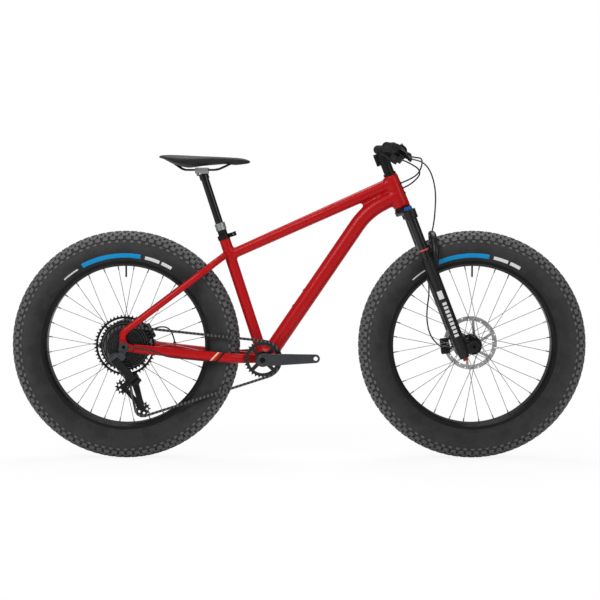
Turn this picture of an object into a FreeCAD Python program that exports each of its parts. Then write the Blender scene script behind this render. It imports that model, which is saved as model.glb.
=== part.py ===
import FreeCAD, Part
import math
import os

# A fat tyre hardtail bicycle. Lengths are in millimetres and angles in degrees.
# +X points forward, +Y to the rider's left and +Z up. The origin is on the ground, midway between the axles.

# Overall layout
wheelbase = 1154.0
bottom_bracket_ahead = 457.0
bottom_bracket_drop = 43.0
head_angle = 69.0
fork_offset = 54.0
seat_angle = 72.0

# Clearances shared by all pieces
cut_overrun = 2.0
running_clearance = 0.05
slip_clearance = 0.1
body_gap = 0.4

# Tyres: a casing with a hooked bead, five rows of tread ribs and a rounded sidewall
tyre_width = 118.0
tyre_height = 100.5
tread_half_width = 51.0
tread_height = 5.0
tread_row_shares = ((0.0, 0.17), (0.31, 0.57), (0.71, 1.0))
crown_drop = 15.0
casing_wall = 2.2
widest_height_share = 0.5
bead_height = 10.0
bead_clearance = 0.3

# Rims for a 559 mm bead seat
bead_seat_radius = 279.5
rim_width = 80.0
rim_flange_height = 7.0
rim_flange_thickness = 2.5
rim_edge_depth = 15.0
rim_middle_depth = 23.0
rim_middle_width = 54.0
rim_well_width = 42.0
rim_well_depth = 4.0
rim_wall = 1.8
valve_radius = 3.0
valve_length = 38.0

# Spokes, laced three cross
spoke_count = 32
spoke_crosses = 3
spoke_radius = 1.0
nipple_radius = 2.0
nipple_length = 13.0
nipple_clearance = 0.6
rim_hole_offset = 12.0
flange_radius = 31.0
flange_thickness = 3.0
spoke_circle_radius = 27.5

# Hubs and thru-axles
front_hub_width = 150.0
front_axle_radius = 7.5
front_barrel_radius = 17.0
front_flange_places = (-46.0, 44.0)
rear_hub_width = 197.0
rear_axle_radius = 6.0
rear_barrel_radius = 19.0
rear_flange_places = (-40.0, 56.0)
hub_end_radius = 12.0
hub_end_length = 4.0
axle_bore_radius = 3.5

# Disc rotors
front_rotor_radius = 90.0
rear_rotor_radius = 80.0
rotor_track_width = 15.0
rotor_thickness = 1.8
rotor_inset = 15.3
rotor_hub_radius = 30.0
rotor_bore_radius = 22.0
rotor_arm_count = 6
rotor_arm_width = 9.0
rotor_arm_lean = 24.0
rotor_hole_radius = 2.4
rotor_hole_count = 24

# Brake calipers, with a slot that the rotor turns in
caliper_length = 52.0
caliper_height = 30.0
caliper_width = 27.0
caliper_slot = 3.6
caliper_bite = 19.0
caliper_slot_margin = 2.0
caliper_foot_radius = 5.5
caliper_piston_radius = 11.0
caliper_piston_height = 3.0
caliper_edge_round = 4.0
front_caliper_angle = 166.0
rear_caliper_angle = 28.0

# Head tube and headset, measured along the steering axis from the front axle's foot on it
head_tube_low = 511.5
head_tube_length = 113.5
head_tube_low_radius = 27.5
head_tube_high_radius = 23.0
head_tube_wall = 2.5
lower_cup_height = 6.0
upper_cup_height = 8.0
cup_lip = 1.5
cup_depth = 12.0

# Frame tubes in the middle plane
tube_wall = 2.0
down_tube_radius = 25.5
down_tube_low_ahead = 16.0
down_tube_low_up = 5.0
down_tube_angle = 55.7
down_tube_end_angle = 28.0
down_tube_end_along = 43.0
down_tube_bend_share = 0.48
top_tube_seat_height = 31.0
top_tube_seat_width = 32.0
top_tube_head_height = 39.0
top_tube_head_width = 42.0
top_tube_seat_along = 358.5
top_tube_head_along = 88.0
seat_tube_radius = 17.5
seat_tube_wall = 1.9
seat_tube_length = 430.0
shell_width = 100.0
shell_radius = 26.0
shell_bore_radius = 20.5
bearing_cup_out = 9.0
bearing_cup_radius = 23.0

# Chainstays and seatstays, with places given from the rear axle: ahead, out to the side and up
chainstay_half_width = 9.0
chainstay_half_height = 13.0
chainstay_wall = 1.8
chainstay_points = ((30.0, 101.5, -5.0), (247.0, 75.0, -29.0), (345.0, 72.5, -39.0), (394.0, 52.0, -43.0),
                    (457.0, 36.0, -43.0))
seatstay_radius = 9.0
seatstay_wall = 1.6
seatstay_points = ((-3.0, 102.5, 22.0), (-3.0, 102.5, 47.0), (267.0, 77.0, 250.5), (334.0, 18.0, 301.0))
stay_bend_share = 0.42

# Rear dropouts and the derailleur hanger
dropout_thickness = 8.0
dropout_eye_radius = 16.0
dropout_arm_radius = 10.0
hanger_thickness = 7.0
hanger_drop = 30.0
hanger_back = 7.0
hanger_eye_radius = 11.0
axle_head_radius = 10.0
axle_head_length = 4.0

# Seat clamp, dropper seatpost and saddle, with places measured along the seat tube from the bottom bracket
seat_clamp_height = 15.0
seat_clamp_wall = 3.5
seat_clamp_boss_length = 20.0
seat_clamp_boss_radius = 7.0
clamp_skewer_radius = 2.5
clamp_lever_lead = 7.0
clamp_lever_length = 46.0
clamp_lever_offset = 13.0
clamp_lever_root_radius = 7.0
clamp_lever_tip_radius = 4.5
post_radius = 15.45
post_wall = 1.6
post_low = 170.0
post_collar_low = 447.0
post_collar_high = 471.0
post_collar_radius = 17.6
shaft_radius = 13.2
shaft_wall = 2.0
shaft_low = 300.0
shaft_end_below_rails = 17.16
post_extension = 186.165
clamp_cradle_length = 44.0
clamp_cradle_width = 52.0
clamp_cradle_height = 12.0
rail_spread = 44.0
rail_radius = 3.5
rail_points_ahead = ((-91.0, 21.4), (-60.0, 0.0), (52.0, 0.0), (98.0, 21.4))
rail_nose_spread = 20.0
rail_bend_share = 0.3
clamp_neck_radius = 16.0
clamp_split = 1.0
saddle_bolt_radius = 4.0
saddle_bolt_below = 20.0
saddle_bolt_above = 8.0
clamp_top_height = 7.0
saddle_tail_behind_clamp = 138.92
saddle_length = 299.0
saddle_over_rails = 50.0
saddle_sections = (
    (0.0, 40.0, 3.5, -3.5), (0.04, 62.0, 6.5, -0.5), (0.13, 71.0, 14.0, 0.0), (0.24, 70.0, 19.0, -1.0),
    (0.35, 58.0, 20.0, -2.5), (0.48, 38.0, 16.5, -4.0), (0.6, 27.0, 14.5, -4.8), (0.72, 23.0, 12.5, -6.2),
    (0.84, 20.5, 12.5, -9.0), (0.93, 17.0, 9.5, -12.5), (0.98, 12.5, 6.0, -17.0), (1.0, 7.0, 2.5, -21.0))
saddle_split_below = 25.0
saddle_power = 2.3
saddle_split_room = 150.0

# Fork, measured along the steering axis and ahead of it
crown_offset = 13.0
leg_spread = 176.0
stanchion_radius = 16.0
stanchion_wall = 2.2
stanchion_low = 130.0
crown_middle_low = 487.0
crown_side_low = 466.0
crown_side_high = 499.0
crown_race_gap = 0.6
crown_middle_radius = 30.0
crown_side_radius = 21.5
crown_arm_depth = 34.0
crown_cap_radius = 13.5
crown_cap_height = 3.0
steerer_radius = 14.3
steerer_low_radius = 19.5
steerer_low_length = 40.0
steerer_wall = 2.6
knob_radius = 13.0
knob_height = 10.0
knob_ridge_count = 12
knob_ridge_radius = 1.6
seal_radius = 19.5
seal_height = 9.0
seal_low = 319.0
lower_leg_radius = 20.0
lower_leg_low = -24.0
lower_foot_radius = 16.0
lower_bore_floor = 25.0
lower_dropout_radius = 18.0
lower_web_height = 60.0
arch_points = ((28.0, 84.0, -90.0), (50.0, 83.0, -38.0), (61.0, 52.0, 11.0))
arch_top_over_tyre = 17.0
arch_half_depth = 11.0
arch_half_height = 8.5
rebound_knob_radius = 8.0
rebound_knob_height = 9.0

# Stem, spacers, bars and grips, measured along the steering axis and ahead of it
spacer_radius = 17.5
spacer_heights = (10.0, 3.0, 10.0, 10.0)
stem_length = 60.0
stem_clamp_height = 41.0
stem_clamp_radius = 20.0
stem_arm_width = 36.0
stem_arm_height = 34.0
bar_clamp_radius = 22.0
bar_clamp_width = 48.0
stem_split = 2.0
stem_bolt_radius = 3.0
stem_bolt_head_radius = 4.5
stem_bolt_head_height = 4.5
stem_bolt_spread = 30.0
top_cap_height = 5.0
bar_radius = 11.1
bar_wall = 2.0
bar_middle_radius = 15.9
bar_middle_half = 34.0
bar_taper_share = 0.6
bar_bend_out = 120.0
bar_bend_back = 5.0
bar_bend_up = 9.0
bar_end_out = 380.0
bar_end_back = 54.0
bar_end_up = 31.5
bar_bend_share = 0.45
grip_length = 128.0
grip_radius = 15.5
grip_flange_radius = 18.0
grip_flange_length = 5.0
grip_end_cap = 3.0

# Brake levers and shifter. Places on the bar are distances in from its end; others are from the bar's axis
lever_clamp_in = 156.0
lever_clamp_width = 14.0
lever_clamp_wall = 4.5
lever_droop = 30.0
lever_body_radius = 10.0
lever_body_points = ((-44.0, 47.0), (14.0, 33.0))
lever_body_neck = 8.0
lever_pivot_out = 28.0
lever_pivot_ahead = 51.0
lever_pivot_radius = 3.0
lever_eye_radius = 7.5
lever_knuckle_height = 18.0
lever_blade_height = 11.0
lever_blade_points = ((62.0, 71.0), (104.0, 74.0), (112.0, 80.0))
lever_blade_radii = (5.0, 4.2, 4.8)
shifter_in = 190.0
shifter_ahead = 18.0
shifter_below = 27.0
shifter_radius = 19.0
shifter_height = 20.0
paddle_thickness = 4.0
paddle_gap = 0.6
paddle_eye_radius = 8.0
paddle_tip_radius = 6.5
paddle_post_radius = 3.0
up_paddle_reach = (-44.0, 12.0)
down_paddle_reach = (-24.0, -24.0)

# Cranks and chainring
crank_length = 175.0
crank_rise = 1.4
crank_face = 110.0
crank_thickness = 14.0
crank_root_radius = 21.0
crank_tip_radius = 14.0
pedal_hole_radius = 7.1
spindle_radius = 14.5
spindle_bore_radius = 11.0
crank_boss_radius = 18.0
crank_cap_radius = 13.0
crank_cap_height = 2.0
chain_line = 73.0
ring_teeth = 30
ring_web_radius = 53.0
ring_hub_radius = 26.0
ring_web_thickness = 3.0
ring_arm_count = 4
ring_arm_width = 13.0
ring_arm_seat_share = 0.75

# Chain and cassette
chain_pitch = 12.7
roller_radius = 3.85
pin_radius = 1.75
pin_play = 0.15
link_plate_radius = 4.1
link_plate_thickness = 0.55
inner_half_gap = 1.05
plate_play = 0.15
pin_overhang = 0.15
tooth_seat_play = 0.15
tooth_height = 2.6
tooth_thickness = 1.5
tooth_tip_half = 0.8
tooth_seat_angle = 70.0
cog_teeth = (50, 42, 36, 32, 28, 25, 22, 19, 17, 15, 13, 11)
cog_spacing = 3.5
largest_cog_out = 50.0
running_cog = 3
freehub_radius = 17.0
cog_window_count = 8
cog_window_rim = 11.0
cog_window_rib = 9.0
windowed_cogs = 4

# Rear derailleur, with places given from the rear axle: ahead and up
pulley_teeth = 12
pulley_hub_radius = 8.0
pulley_hole_radius = 4.0
pulley_hole_reach = 14.0
pulley_hole_count = 5
pulley_hub_width = 6.4
pulley_bolt_radius = 3.0
cage_pivot_ahead = 29.0
cage_pivot_up = -106.0
guide_pulley_ahead = -9.0
guide_pulley_up = -134.0
tension_pulley_ahead = 51.0
tension_pulley_up = -212.0
cage_plate_thickness = 2.0
cage_half_gap = 5.0
cage_plate_radius = 8.0
cage_pivot_radius = 12.5
knuckle_radius = 18.0
knuckle_width = 15.0
knuckle_post_radius = 6.0
knuckle_post_share = 0.7
knuckle_gap = 1.2
mount_eye_radius = 14.0
mount_width = 13.0
mount_pivot_out = 121.0
knuckle_pivot_out = 98.0
swing_pin_radius = 3.0
swing_range = (-21.0, 12.0)
mount_pivot_ahead = -24.0
mount_pivot_up = -44.0
link_half_width = 7.5
link_half_height = 12.0
link_eye_gap = 0.8
link_fork_thickness = 5.0
bridge_lead = 10.5
bridge_depth = 12.0
bridge_arm_radius = 11.0

# Hoses and housings
hose_radius = 2.5
hose_bend_share = 0.46
port_radius = 5.0
port_out = 3.0
port_angle = 25.0
port_lead = 28.0
port_alongs = (77.0, 59.5, 42.0)
hose_lead = 40.0
rear_hose_points = ((118.0, -98.0, 640.0), (92.0, -44.0, 597.0))
shift_housing_points = ((62.0, -152.0, 650.0), (102.0, -88.0, 598.0))
front_hose_points = ((136.0, 108.0, 618.0), (135.0, 94.0, 531.0), (94.0, 92.0, 436.0), (64.0, 112.0, 385.0),
                     (12.0, 115.0, 312.0), (-6.0, 113.0, 214.0), (-46.0, 99.0, 146.0), (-62.0, 74.0, 94.0),
                     (-60.0, 59.7, 50.8))
derailleur_housing_points = ((262.0, -74.7, -47.6), (200.0, -80.8, -40.5), (152.0, -87.5, -35.5),
                             (126.0, -100.0, -27.0),
                             (100.0, -106.5, -14.0), (56.0, -118.0, -2.0), (24.0, -120.0, 2.0))
rear_caliper_hose_points = ((106.0, 84.5, 56.0), (146.0, 87.0, 44.0), (155.0, 86.3, 1.0))
chainstay_port_length = 20.0

# Bottle bosses on the down tube
boss_spacing = 64.0
boss_first_along = 186.0
boss_radius = 5.0
boss_hole_radius = 2.5
boss_length = 10.0
boss_out = 2.0

V = FreeCAD.Vector
Y_AXIS = V(0, 1, 0)
Z_AXIS = V(0, 0, 1)

# Places worked out from the layout
axle_z = bead_seat_radius + tyre_height
rear_axle = V(-wheelbase / 2, 0, axle_z)
front_axle = V(wheelbase / 2, 0, axle_z)
bottom_bracket = V(rear_axle.x + bottom_bracket_ahead, 0, axle_z - bottom_bracket_drop)
head_lean = math.radians(90 - head_angle)
seat_lean = math.radians(90 - seat_angle)
steering_up = V(-math.sin(head_lean), 0, math.cos(head_lean))
steering_ahead = V(math.cos(head_lean), 0, math.sin(head_lean))
steering_foot = front_axle - steering_ahead * fork_offset
seat_up = V(-math.sin(seat_lean), 0, math.cos(seat_lean))
seat_ahead = V(math.cos(seat_lean), 0, math.sin(seat_lean))
parts = {}


def cylinder(start, end, radius):
    """A round bar from one point to another."""
    return Part.makeCylinder(radius, (end - start).Length, start, end - start)


def taper(start, end, start_radius, end_radius):
    """A round bar whose radius changes evenly from one end to the other."""
    return Part.makeCone(start_radius, end_radius, (end - start).Length, start, end - start)


def sleeve(start, end, outer, inner):
    """A round bar with a bore that runs all the way through it."""
    return cylinder(start, end, outer).cut(cylinder(start, end, inner))


def joined(shapes):
    """One solid from pieces that overlap."""
    return shapes[0].fuse(list(shapes[1:])).removeSplitter()


def moved(shape, place):
    """A copy of a shape shifted by a vector."""
    result = shape.copy()
    result.translate(place)
    return result


def turned_copy(shape, centre, axis, angle):
    """A copy of a shape turned about an axis by an angle in degrees."""
    result = shape.copy()
    result.rotate(centre, axis, angle)
    return result


def mirrored(shape):
    """The same piece for the other side of the bicycle."""
    return shape.mirror(V(0, 0, 0), Y_AXIS)


def placed(shape, origin, ahead, up):
    """A copy of a shape drawn about the origin, with its X along one direction and its Z along another."""
    result = shape.copy()
    turn = FreeCAD.Rotation(ahead, up.cross(ahead), up, "ZXY")
    result.Placement = FreeCAD.Placement(origin, turn).multiply(shape.Placement)
    return result


def on_steering(shape):
    """Carry a piece drawn with Z along the steering axis to its place on the bicycle."""
    return placed(shape, steering_foot, steering_ahead, steering_up)


def on_seat_tube(shape):
    """Carry a piece drawn with Z along the seat tube to its place on the bicycle."""
    return placed(shape, bottom_bracket, seat_ahead, seat_up)


def steering_point(ahead, side, along):
    """A place given ahead of the steering axis, to the side and along the axis, in bicycle coordinates."""
    return steering_foot + steering_ahead * ahead + Y_AXIS * side + steering_up * along


def turned(outline):
    """A ring about the Y axis from a closed outline of (along Y, radius) points."""
    points = [V(0, along, radius) for along, radius in outline]
    face = Part.Face(Part.makePolygon(points + points[:1]))
    return face.revolve(V(0, 0, 0), Y_AXIS, 360)


def plate(first, second, first_radius, second_radius, low, high):
    """A flat link in the XZ plane: two round ends joined by tangent edges, between two Y places."""
    first = V(first.x, low, first.z)
    second = V(second.x, low, second.z)
    reach = second - first
    lean = math.acos((first_radius - second_radius) / reach.Length)
    heading = math.atan2(reach.z, reach.x)

    def rim_point(centre, radius, angle):
        return centre + V(math.cos(angle), 0, math.sin(angle)) * radius

    edges = [
        Part.Arc(rim_point(first, first_radius, heading + lean),
                 rim_point(first, first_radius, heading + math.pi),
                 rim_point(first, first_radius, heading - lean)).toShape(),
        Part.LineSegment(rim_point(first, first_radius, heading - lean),
                         rim_point(second, second_radius, heading - lean)).toShape(),
        Part.Arc(rim_point(second, second_radius, heading - lean),
                 rim_point(second, second_radius, heading),
                 rim_point(second, second_radius, heading + lean)).toShape(),
        Part.LineSegment(rim_point(second, second_radius, heading + lean),
                         rim_point(first, first_radius, heading + lean)).toShape(),
    ]
    return Part.Face(Part.Wire(edges)).extrude(V(0, high - low, 0))


def flat_link(first, second, first_radius, second_radius, low, high):
    """A plate that lies in the XY plane between two Z places."""
    upright = plate(V(first[0], 0, first[1]), V(second[0], 0, second[1]), first_radius, second_radius, low,
                    high)
    return placed(upright, V(0, 0, 0), V(1, 0, 0), V(0, 1, 0)).mirror(V(0, 0, 0), Z_AXIS)


def route(points, bend_share):
    """Straight runs joined by tangent arcs. Each arc uses a share of the shorter run beside it."""
    edges = []
    radii = []
    last = points[0]
    for before, corner, after in zip(points, points[1:], points[2:]):
        back = (before - corner)
        on = (after - corner)
        reach = min(back.Length, on.Length) * bend_share
        back.normalize()
        on.normalize()
        half_turn = (math.pi - back.getAngle(on)) / 2
        radius = reach / math.tan(half_turn)
        radii.append(radius)
        middle = back + on
        middle.normalize()
        middle = corner + middle * (radius / math.cos(half_turn) - radius)
        edges.append(Part.LineSegment(last, corner + back * reach).toShape())
        edges.append(Part.Arc(corner + back * reach, middle, corner + on * reach).toShape())
        last = corner + on * reach
    edges.append(Part.LineSegment(last, points[-1]).toShape())
    return Part.Wire(edges), radii


def pipe(path, radius):
    """A round bar along a route."""
    first = path.Edges[0]
    start = first.valueAt(first.FirstParameter)
    heading = first.tangentAt(first.FirstParameter)
    section = Part.Wire(Part.Circle(start, heading, radius).toShape())
    return path.makePipeShell([section], True, False)


def oval(centre, side, up, half_side, half_up, power):
    """A closed smooth curve, rounder or squarer by its power, that spans two half sizes."""
    points = []
    for step in range(20):
        angle = 2 * math.pi * step / 20
        across = math.copysign(abs(math.cos(angle)) ** (2 / power), math.cos(angle))
        along = math.copysign(abs(math.sin(angle)) ** (2 / power), math.sin(angle))
        points.append(centre + side * (half_side * across) + up * (half_up * along))
    curve = Part.BSplineCurve()
    curve.interpolate(points, PeriodicFlag=True)
    return Part.Wire(curve.toShape())


def oval_tube(path, side, half_side, half_up):
    """A bar of oval section along a route."""
    first = path.Edges[0]
    start = first.valueAt(first.FirstParameter)
    heading = first.tangentAt(first.FirstParameter)
    side = (side - heading * side.dot(heading)).normalize()
    section = oval(start, side, heading.cross(side), half_side, half_up, 2)
    return path.makePipeShell([section], True, False)


# Tyres. The casing's crown is an arc; ribs stand on it in rows.
casing_crown = axle_z - tread_height
crown_radius = (crown_drop ** 2 + tread_half_width ** 2) / (2 * crown_drop)
bead_radius = bead_seat_radius + bead_clearance
rim_flange_radius = bead_seat_radius + rim_flange_height
bead_out = rim_width / 2 - rim_flange_thickness - bead_clearance
shoulder_radius = casing_crown - crown_drop
widest_radius = bead_radius + (casing_crown - bead_radius) * widest_height_share
rim_inner_radius = rim_flange_radius - rim_middle_depth


def casing_radius(side):
    """Radius of the casing's crown at a distance from the middle."""
    return casing_crown - crown_radius + math.sqrt(crown_radius ** 2 - side ** 2)


def tread_outline():
    """Points across the tread from the left shoulder to the right one, in and out over each row."""
    half = []
    for inner_share, outer_share in reversed(tread_row_shares):
        outer = tread_half_width * outer_share
        inner = tread_half_width * inner_share
        half.append((outer, casing_radius(outer)))
        half.append((outer, casing_radius(outer) + tread_height))
        half.append((inner, casing_radius(inner) + tread_height))
        if inner_share:
            half.append((inner, casing_radius(inner)))
    return half + [(-side, radius) for side, radius in reversed(half[:-1])]


def tyre():
    """The hollow casing with its ribs, open at the rim."""
    tread = [V(0, side, radius) for side, radius in tread_outline()]
    bead_top = bead_radius + bead_height
    edges = [Part.LineSegment(a, b).toShape() for a, b in zip(tread, tread[1:])]
    for way in (1, -1):
        shoulder = V(0, way * tread_half_width, shoulder_radius)
        widest = V(0, way * tyre_width / 2, widest_radius)
        top = V(0, way * bead_out, bead_top)
        foot = V(0, way * bead_out, bead_radius)
        inner_foot = V(0, way * (bead_out - casing_wall), bead_radius)
        inner_top = V(0, way * (bead_out - casing_wall), bead_top)
        inner_widest = V(0, way * (tyre_width / 2 - casing_wall), widest_radius)
        inner_shoulder = V(0, way * (tread_half_width - casing_wall), shoulder_radius - casing_wall)
        edges.append(Part.Arc(shoulder, widest, top).toShape())
        edges.append(Part.LineSegment(top, foot).toShape())
        edges.append(Part.LineSegment(foot, inner_foot).toShape())
        edges.append(Part.LineSegment(inner_foot, inner_top).toShape())
        edges.append(Part.Arc(inner_top, inner_widest, inner_shoulder).toShape())
    inner_left = V(0, tread_half_width - casing_wall, shoulder_radius - casing_wall)
    inner_right = V(0, casing_wall - tread_half_width, shoulder_radius - casing_wall)
    edges.append(Part.Arc(inner_left, V(0, 0, casing_crown - casing_wall), inner_right).toShape())
    outline = Part.Wire(Part.__sortEdges__(edges))
    return Part.Face(outline).revolve(V(0, 0, 0), Y_AXIS, 360)


def rim():
    """A wide rim with hooked flanges, a shallow well and a valve."""
    half = rim_width / 2
    inner_half = half - rim_flange_thickness
    well = rim_well_width / 2
    middle = rim_middle_width / 2
    ring = turned([
        (half, rim_flange_radius), (inner_half, rim_flange_radius), (inner_half, bead_seat_radius),
        (well, bead_seat_radius), (well - rim_well_depth, bead_seat_radius - rim_well_depth),
        (rim_well_depth - well, bead_seat_radius - rim_well_depth), (-well, bead_seat_radius),
        (-inner_half, bead_seat_radius), (-inner_half, rim_flange_radius), (-half, rim_flange_radius),
        (-half, rim_flange_radius - rim_edge_depth), (-middle, rim_inner_radius),
                   (middle, rim_inner_radius),
        (half, rim_flange_radius - rim_edge_depth)])
    edge = inner_half - rim_wall
    hollow = turned([
        (edge, bead_seat_radius - rim_wall), (well, bead_seat_radius - rim_wall),
        (well - rim_well_depth, bead_seat_radius - rim_well_depth - rim_wall),
        (rim_well_depth - well, bead_seat_radius - rim_well_depth - rim_wall),
                     (-well, bead_seat_radius - rim_wall),
        (-edge, bead_seat_radius - rim_wall), (-edge, rim_flange_radius - rim_edge_depth + rim_wall),
        (-middle, rim_inner_radius + rim_wall), (middle, rim_inner_radius + rim_wall),
        (edge, rim_flange_radius - rim_edge_depth + rim_wall)])
    valve = cylinder(V(0, 0, rim_inner_radius - valve_length), V(0, 0, bead_seat_radius), valve_radius)
    return Part.makeCompound([ring.cut(hollow).cut(valve), valve])


def spoke(start, end):
    """A straight spoke with its nipple at the rim end."""
    length = (end - start).Length
    outline = [V(0, 0, 0), V(spoke_radius, 0, 0), V(spoke_radius, 0, length - nipple_length),
               V(nipple_radius, 0, length - nipple_length), V(nipple_radius, 0, length), V(0, 0, length)]
    solid = Part.Face(Part.makePolygon(outline + outline[:1])).revolve(V(0, 0, 0), Z_AXIS, 360)
    solid.Placement = FreeCAD.Placement(start, FreeCAD.Rotation(Z_AXIS, end - start))
    return solid


def spokes(flange_places):
    """Both sides of a wheel, laced with every other spoke leaning back on the flange's other face."""
    result = []
    each = spoke_count // 2
    cross_angle = spoke_crosses * 2 * math.pi / each
    face_step = flange_thickness / 2 + spoke_radius + slip_clearance
    rim_radius = rim_inner_radius - nipple_clearance
    for flange, way in zip(flange_places, (-1, 1)):
        for step in range(each):
            rim_angle = 2 * math.pi * (step + (way + 1) / 4) / each + math.pi / (2 * each)
            lean = 1 if step % 2 else -1
            hub_angle = rim_angle + lean * cross_angle
            start = V(math.cos(hub_angle) * spoke_circle_radius, flange + lean * face_step,
                      math.sin(hub_angle) * spoke_circle_radius)
            end = V(math.cos(rim_angle) * rim_radius, way * rim_hole_offset,
                    math.sin(rim_angle) * rim_radius)
            result.append(spoke(start, end))
    return Part.makeCompound(result)


def hub(ends, flange_places, barrel_radius, axle_radius):
    """A hub shell with two spoke flanges and end caps, bored for its axle."""
    bore = axle_radius + running_clearance
    right, left = ends
    right_flange, left_flange = flange_places
    half = flange_thickness / 2
    return turned([
        (right, bore), (right, hub_end_radius), (right + hub_end_length, hub_end_radius),
        (right + hub_end_length, barrel_radius), (right_flange - half, barrel_radius),
        (right_flange - half, flange_radius), (right_flange + half, flange_radius),
        (right_flange + half, barrel_radius), (left_flange - half, barrel_radius),
        (left_flange - half, flange_radius), (left_flange + half, flange_radius),
        (left_flange + half, barrel_radius), (left - hub_end_length, barrel_radius),
        (left - hub_end_length, hub_end_radius), (left, hub_end_radius), (left, bore)])


def rotor(radius, side, barrel_radius):
    """A brake disc: a drilled track on leaning arms, bolted round the hub barrel."""
    low = V(0, side - rotor_thickness / 2, 0)
    high = V(0, side + rotor_thickness / 2, 0)
    track_inner = radius - rotor_track_width
    pieces = [sleeve(low, high, radius, track_inner), sleeve(low, high, rotor_hub_radius,
                                                             rotor_bore_radius)]
    reach = track_inner + rotor_track_width / 2
    root = rotor_hub_radius - rotor_arm_width / 2
    for step in range(rotor_arm_count):
        angle = 2 * math.pi * step / rotor_arm_count
        tip_angle = angle + math.radians(rotor_arm_lean)
        start = V(math.cos(angle) * root, 0, math.sin(angle) * root)
        end = V(math.cos(tip_angle) * reach, 0, math.sin(tip_angle) * reach)
        pieces.append(plate(start, end, rotor_arm_width / 2, rotor_arm_width / 2, low.y, high.y))
    disc = joined(pieces)
    holes = []
    for step in range(rotor_hole_count):
        angle = 2 * math.pi * (step + 1 / 4) / rotor_hole_count
        swing = rotor_track_width / 4 * (1 if step % 2 else -1)
        centre = V(math.cos(angle), 0, math.sin(angle)) * (reach + swing)
        holes.append(cylinder(centre + low - Y_AXIS * cut_overrun, centre + high + Y_AXIS * cut_overrun,
                              rotor_hole_radius))
    carrier = sleeve(low, high, rotor_bore_radius, barrel_radius + slip_clearance)
    return joined([disc.cut(Part.makeCompound(holes)), carrier])


front_hub_ends = (body_gap - front_hub_width / 2, front_hub_width / 2 - body_gap)
rear_hub_ends = (-largest_cog_out + cog_spacing, rear_hub_width / 2 - body_gap)
front_rotor_side = front_hub_width / 2 - rotor_inset
rear_rotor_side = rear_hub_width / 2 - rotor_inset
tyre_solid = tyre()
rim_solid = rim()
parts["front_tyre"] = moved(tyre_solid, front_axle)
parts["front_rim"] = moved(rim_solid, front_axle)
front_hub = hub(front_hub_ends, front_flange_places, front_barrel_radius, front_axle_radius)
parts["front_spokes"] = moved(spokes(front_flange_places), front_axle)
parts["front_hub"] = moved(front_hub, front_axle)
parts["front_rotor"] = moved(rotor(front_rotor_radius, front_rotor_side, front_barrel_radius), front_axle)
parts["rear_tyre"] = moved(tyre_solid, rear_axle)
parts["rear_rim"] = moved(rim_solid, rear_axle)
rear_hub = hub(rear_hub_ends, rear_flange_places, rear_barrel_radius, rear_axle_radius)
parts["rear_spokes"] = moved(spokes(rear_flange_places), rear_axle)
parts["rear_hub"] = moved(rear_hub, rear_axle)
parts["rear_rotor"] = moved(rotor(rear_rotor_radius, rear_rotor_side, rear_barrel_radius), rear_axle)


# Chain drive. The chain runs over the ring, a cog, the guide pulley and the tension pulley.
def pitch_radius(teeth):
    """Radius of the circle that the chain's pins lie on."""
    return chain_pitch / (2 * math.sin(math.pi / teeth))


cage_pivot = V(rear_axle.x + cage_pivot_ahead, 0, axle_z + cage_pivot_up)
guide_start = V(rear_axle.x + guide_pulley_ahead, 0, axle_z + guide_pulley_up)
tension_start = V(rear_axle.x + tension_pulley_ahead, 0, axle_z + tension_pulley_up)
running_side = -(largest_cog_out + cog_spacing * running_cog)


def sprocket(teeth, gap_angle, side, thickness):
    """A toothed disc in the XZ plane about the origin. One gap between teeth lies at the given angle."""
    radius = pitch_radius(teeth)
    seat = roller_radius + tooth_seat_play
    spread = math.radians(tooth_seat_angle)
    tip_radius = radius + tooth_height
    tip_share = math.pi / teeth - tooth_tip_half / tip_radius
    low = side - thickness / 2
    edges = []
    first = None
    last = None
    for step in range(teeth):
        angle = gap_angle + 2 * math.pi * step / teeth
        out = V(math.cos(angle), 0, math.sin(angle))
        along = V(-math.sin(angle), 0, math.cos(angle))
        centre = out * radius + Y_AXIS * low
        start = centre - out * (seat * math.cos(spread)) - along * (seat * math.sin(spread))
        end = centre - out * (seat * math.cos(spread)) + along * (seat * math.sin(spread))
        before = V(math.cos(angle - tip_share), 0, math.sin(angle - tip_share)) * tip_radius + Y_AXIS * low
        after = V(math.cos(angle + tip_share), 0, math.sin(angle + tip_share)) * tip_radius + Y_AXIS * low
        if last is None:
            first = before
        else:
            edges.append(Part.LineSegment(last, before).toShape())
        edges.append(Part.LineSegment(before, start).toShape())
        edges.append(Part.Arc(start, centre - out * seat, end).toShape())
        edges.append(Part.LineSegment(end, after).toShape())
        last = after
    edges.append(Part.LineSegment(last, first).toShape())
    return Part.Face(Part.Wire(edges)).extrude(Y_AXIS * thickness)


def swung(place, angle):
    """A place on the derailleur cage after the cage has swung about its pivot."""
    reach = place - cage_pivot
    return cage_pivot + V(reach.x * math.cos(angle) - reach.z * math.sin(angle), 0,
                          reach.x * math.sin(angle) + reach.z * math.cos(angle))


def chain_stops(cage_angle):
    """Each wheel that the chain passes: centre, teeth, way round and side."""
    return [(bottom_bracket, ring_teeth, 1, -chain_line), (V(rear_axle), cog_teeth[running_cog], 1,
                                                           running_side),
            (swung(guide_start, cage_angle), pulley_teeth, -1, running_side),
            (swung(tension_start, cage_angle), pulley_teeth, 1, running_side)]


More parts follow.
